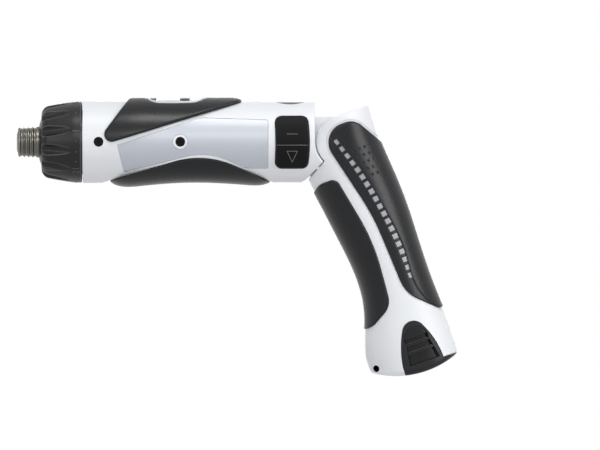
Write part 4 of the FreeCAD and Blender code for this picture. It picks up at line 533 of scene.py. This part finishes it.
# White floor and surround: they show as white to the camera and in reflections, and the floor keeps a shadow.
# The floor lies as low as the battery reaches when it is drawn out of the handle.
studio = {"ambient": 0.39, "ambientTint": "#f0f3f8", "white": (1, 1, 1, 1),
          "floorZ": cadBox[0][2] - 86 * mm, "floorHalf": 6.0, "floorCloud": 4.0, "floorTones": (0.76, 0.8),
          "shadowShare": 0.3, "shadowX": 120 * mm, "shadowNear": 60 * mm, "shadowFar": 260 * mm}


def whiteToLens(tree):
    path = addNode(tree, "ShaderNodeLightPath")
    seen = addNode(tree, "ShaderNodeMath", {0: path.outputs["Is Camera Ray"], 1: path.outputs["Is Glossy Ray"]},
                   operation="MAXIMUM")
    return addNode(tree, "ShaderNodeMath", {0: seen.outputs[0], 1: path.outputs["Is Transmission Ray"]},
                   operation="MAXIMUM").outputs[0]


world = bpy.data.worlds.new("whiteStudio")
scene.world = world
world.use_nodes = True
worldTree = world.node_tree
worldTree.nodes.clear()
dim = addNode(worldTree, "ShaderNodeBackground", None,
              {"Color": srgb(studio["ambientTint"]), "Strength": studio["ambient"]})
bright = addNode(worldTree, "ShaderNodeBackground", None, {"Color": studio["white"], "Strength": 1.0})
mixed = addNode(worldTree, "ShaderNodeMixShader",
                {0: whiteToLens(worldTree), 1: dim.outputs[0], 2: bright.outputs[0]})
addNode(worldTree, "ShaderNodeOutputWorld", {"Surface": mixed.outputs[0]})

floorMaterial, floorTree = emptyMaterial("paleStudioFloor")
floorPlace = addNode(floorTree, "ShaderNodeTexCoord").outputs["Object"]
floorClouds = addNode(floorTree, "ShaderNodeTexNoise", {"Vector": floorPlace}, {"Scale": studio["floorCloud"]})
floorTone = addNode(floorTree, "ShaderNodeMapRange", {"Value": floorClouds.outputs["Fac"]},
                    {"To Min": studio["floorTones"][0], "To Max": studio["floorTones"][1]})
matte = addNode(floorTree, "ShaderNodeBsdfDiffuse", {"Color": floorTone.outputs["Result"]})
glow = addNode(floorTree, "ShaderNodeEmission", None, {"Color": studio["white"], "Strength": 1.0})
away = addNode(floorTree, "ShaderNodeVectorMath", {0: floorPlace},
               {1: (studio["shadowX"], 0, studio["floorZ"])}, operation="DISTANCE")
glowFade = addNode(floorTree, "ShaderNodeMapRange", {"Value": away.outputs["Value"]},
                   {"From Min": studio["shadowNear"], "From Max": studio["shadowFar"],
                    "To Min": 1 - studio["shadowShare"], "To Max": 1.0})
glowShare = addNode(floorTree, "ShaderNodeMath", {0: whiteToLens(floorTree), 1: glowFade.outputs["Result"]},
                    operation="MULTIPLY")
floorMix = addNode(floorTree, "ShaderNodeMixShader",
                   {0: glowShare.outputs[0], 1: matte.outputs[0], 2: glow.outputs[0]})
addNode(floorTree, "ShaderNodeOutputMaterial", {"Surface": floorMix.outputs[0]})
floorShape = bmesh.new()
bmesh.ops.create_grid(floorShape, x_segments=1, y_segments=1, size=studio["floorHalf"],
                      matrix=Matrix.Translation((0, 0, studio["floorZ"])))
floorMesh = bpy.data.meshes.new("studioFloor")
floorShape.to_mesh(floorMesh)
floorShape.free()
floorMesh.materials.append(floorMaterial)
floor = bpy.data.objects.new("studioFloor", floorMesh)
scene.collection.objects.link(floor)

# Soft boxes, with places and sizes in metres: overhead, at the right, in front above, at the front left for the
# dial's scoops, and a low one behind.
lamps = {
    "overheadSoftbox": {"place": (0.16, -0.42, 0.87), "size": (0.42, 0.28), "power": 3.8},
    "rightSoftbox": {"place": (0.92, -0.43, 0.24), "size": (0.42, 0.42), "power": 3.0},
    "frontSoftbox": {"place": (0.02, -1.4, 0.52), "size": (0.32, 0.2), "power": 2.75},
    "leftSoftbox": {"place": (-0.6, -1.1, 0.2), "size": (0.35, 0.25), "power": 1.75},
    "backSoftbox": {"place": (0.12, 0.95, 0.08), "size": (0.6, 0.4), "power": 3.0},
}
aim = Vector((0.11, 0.0, -0.03))
for lampName, lamp in lamps.items():
    light = bpy.data.lights.new(lampName, "AREA")
    light.shape = "RECTANGLE"
    light.size, light.size_y = lamp["size"]
    light.energy = lamp["power"]
    holder = bpy.data.objects.new(lampName, light)
    holder.location = lamp["place"]
    holder.rotation_euler = (aim - Vector(lamp["place"])).to_track_quat("-Z", "Y").to_euler()
    holder.visible_camera = False
    scene.collection.objects.link(holder)
print("studio lit")

# Level camera square to the left side, far away with a long lens; 288 mm of the tool's side fill its width.
lens = {"x": 135.8 * mm, "z": -39.8 * mm, "away": 5.76, "focal": 720, "sensor": 36}
cameraData = bpy.data.cameras.new("sideCamera")
cameraData.lens = lens["focal"]
cameraData.sensor_width = lens["sensor"]
camera = bpy.data.objects.new("sideCamera", cameraData)
camera.location = (lens["x"], -lens["away"], lens["z"])
camera.rotation_euler = (math.radians(90), 0, 0)
scene.collection.objects.link(camera)
scene.camera = camera
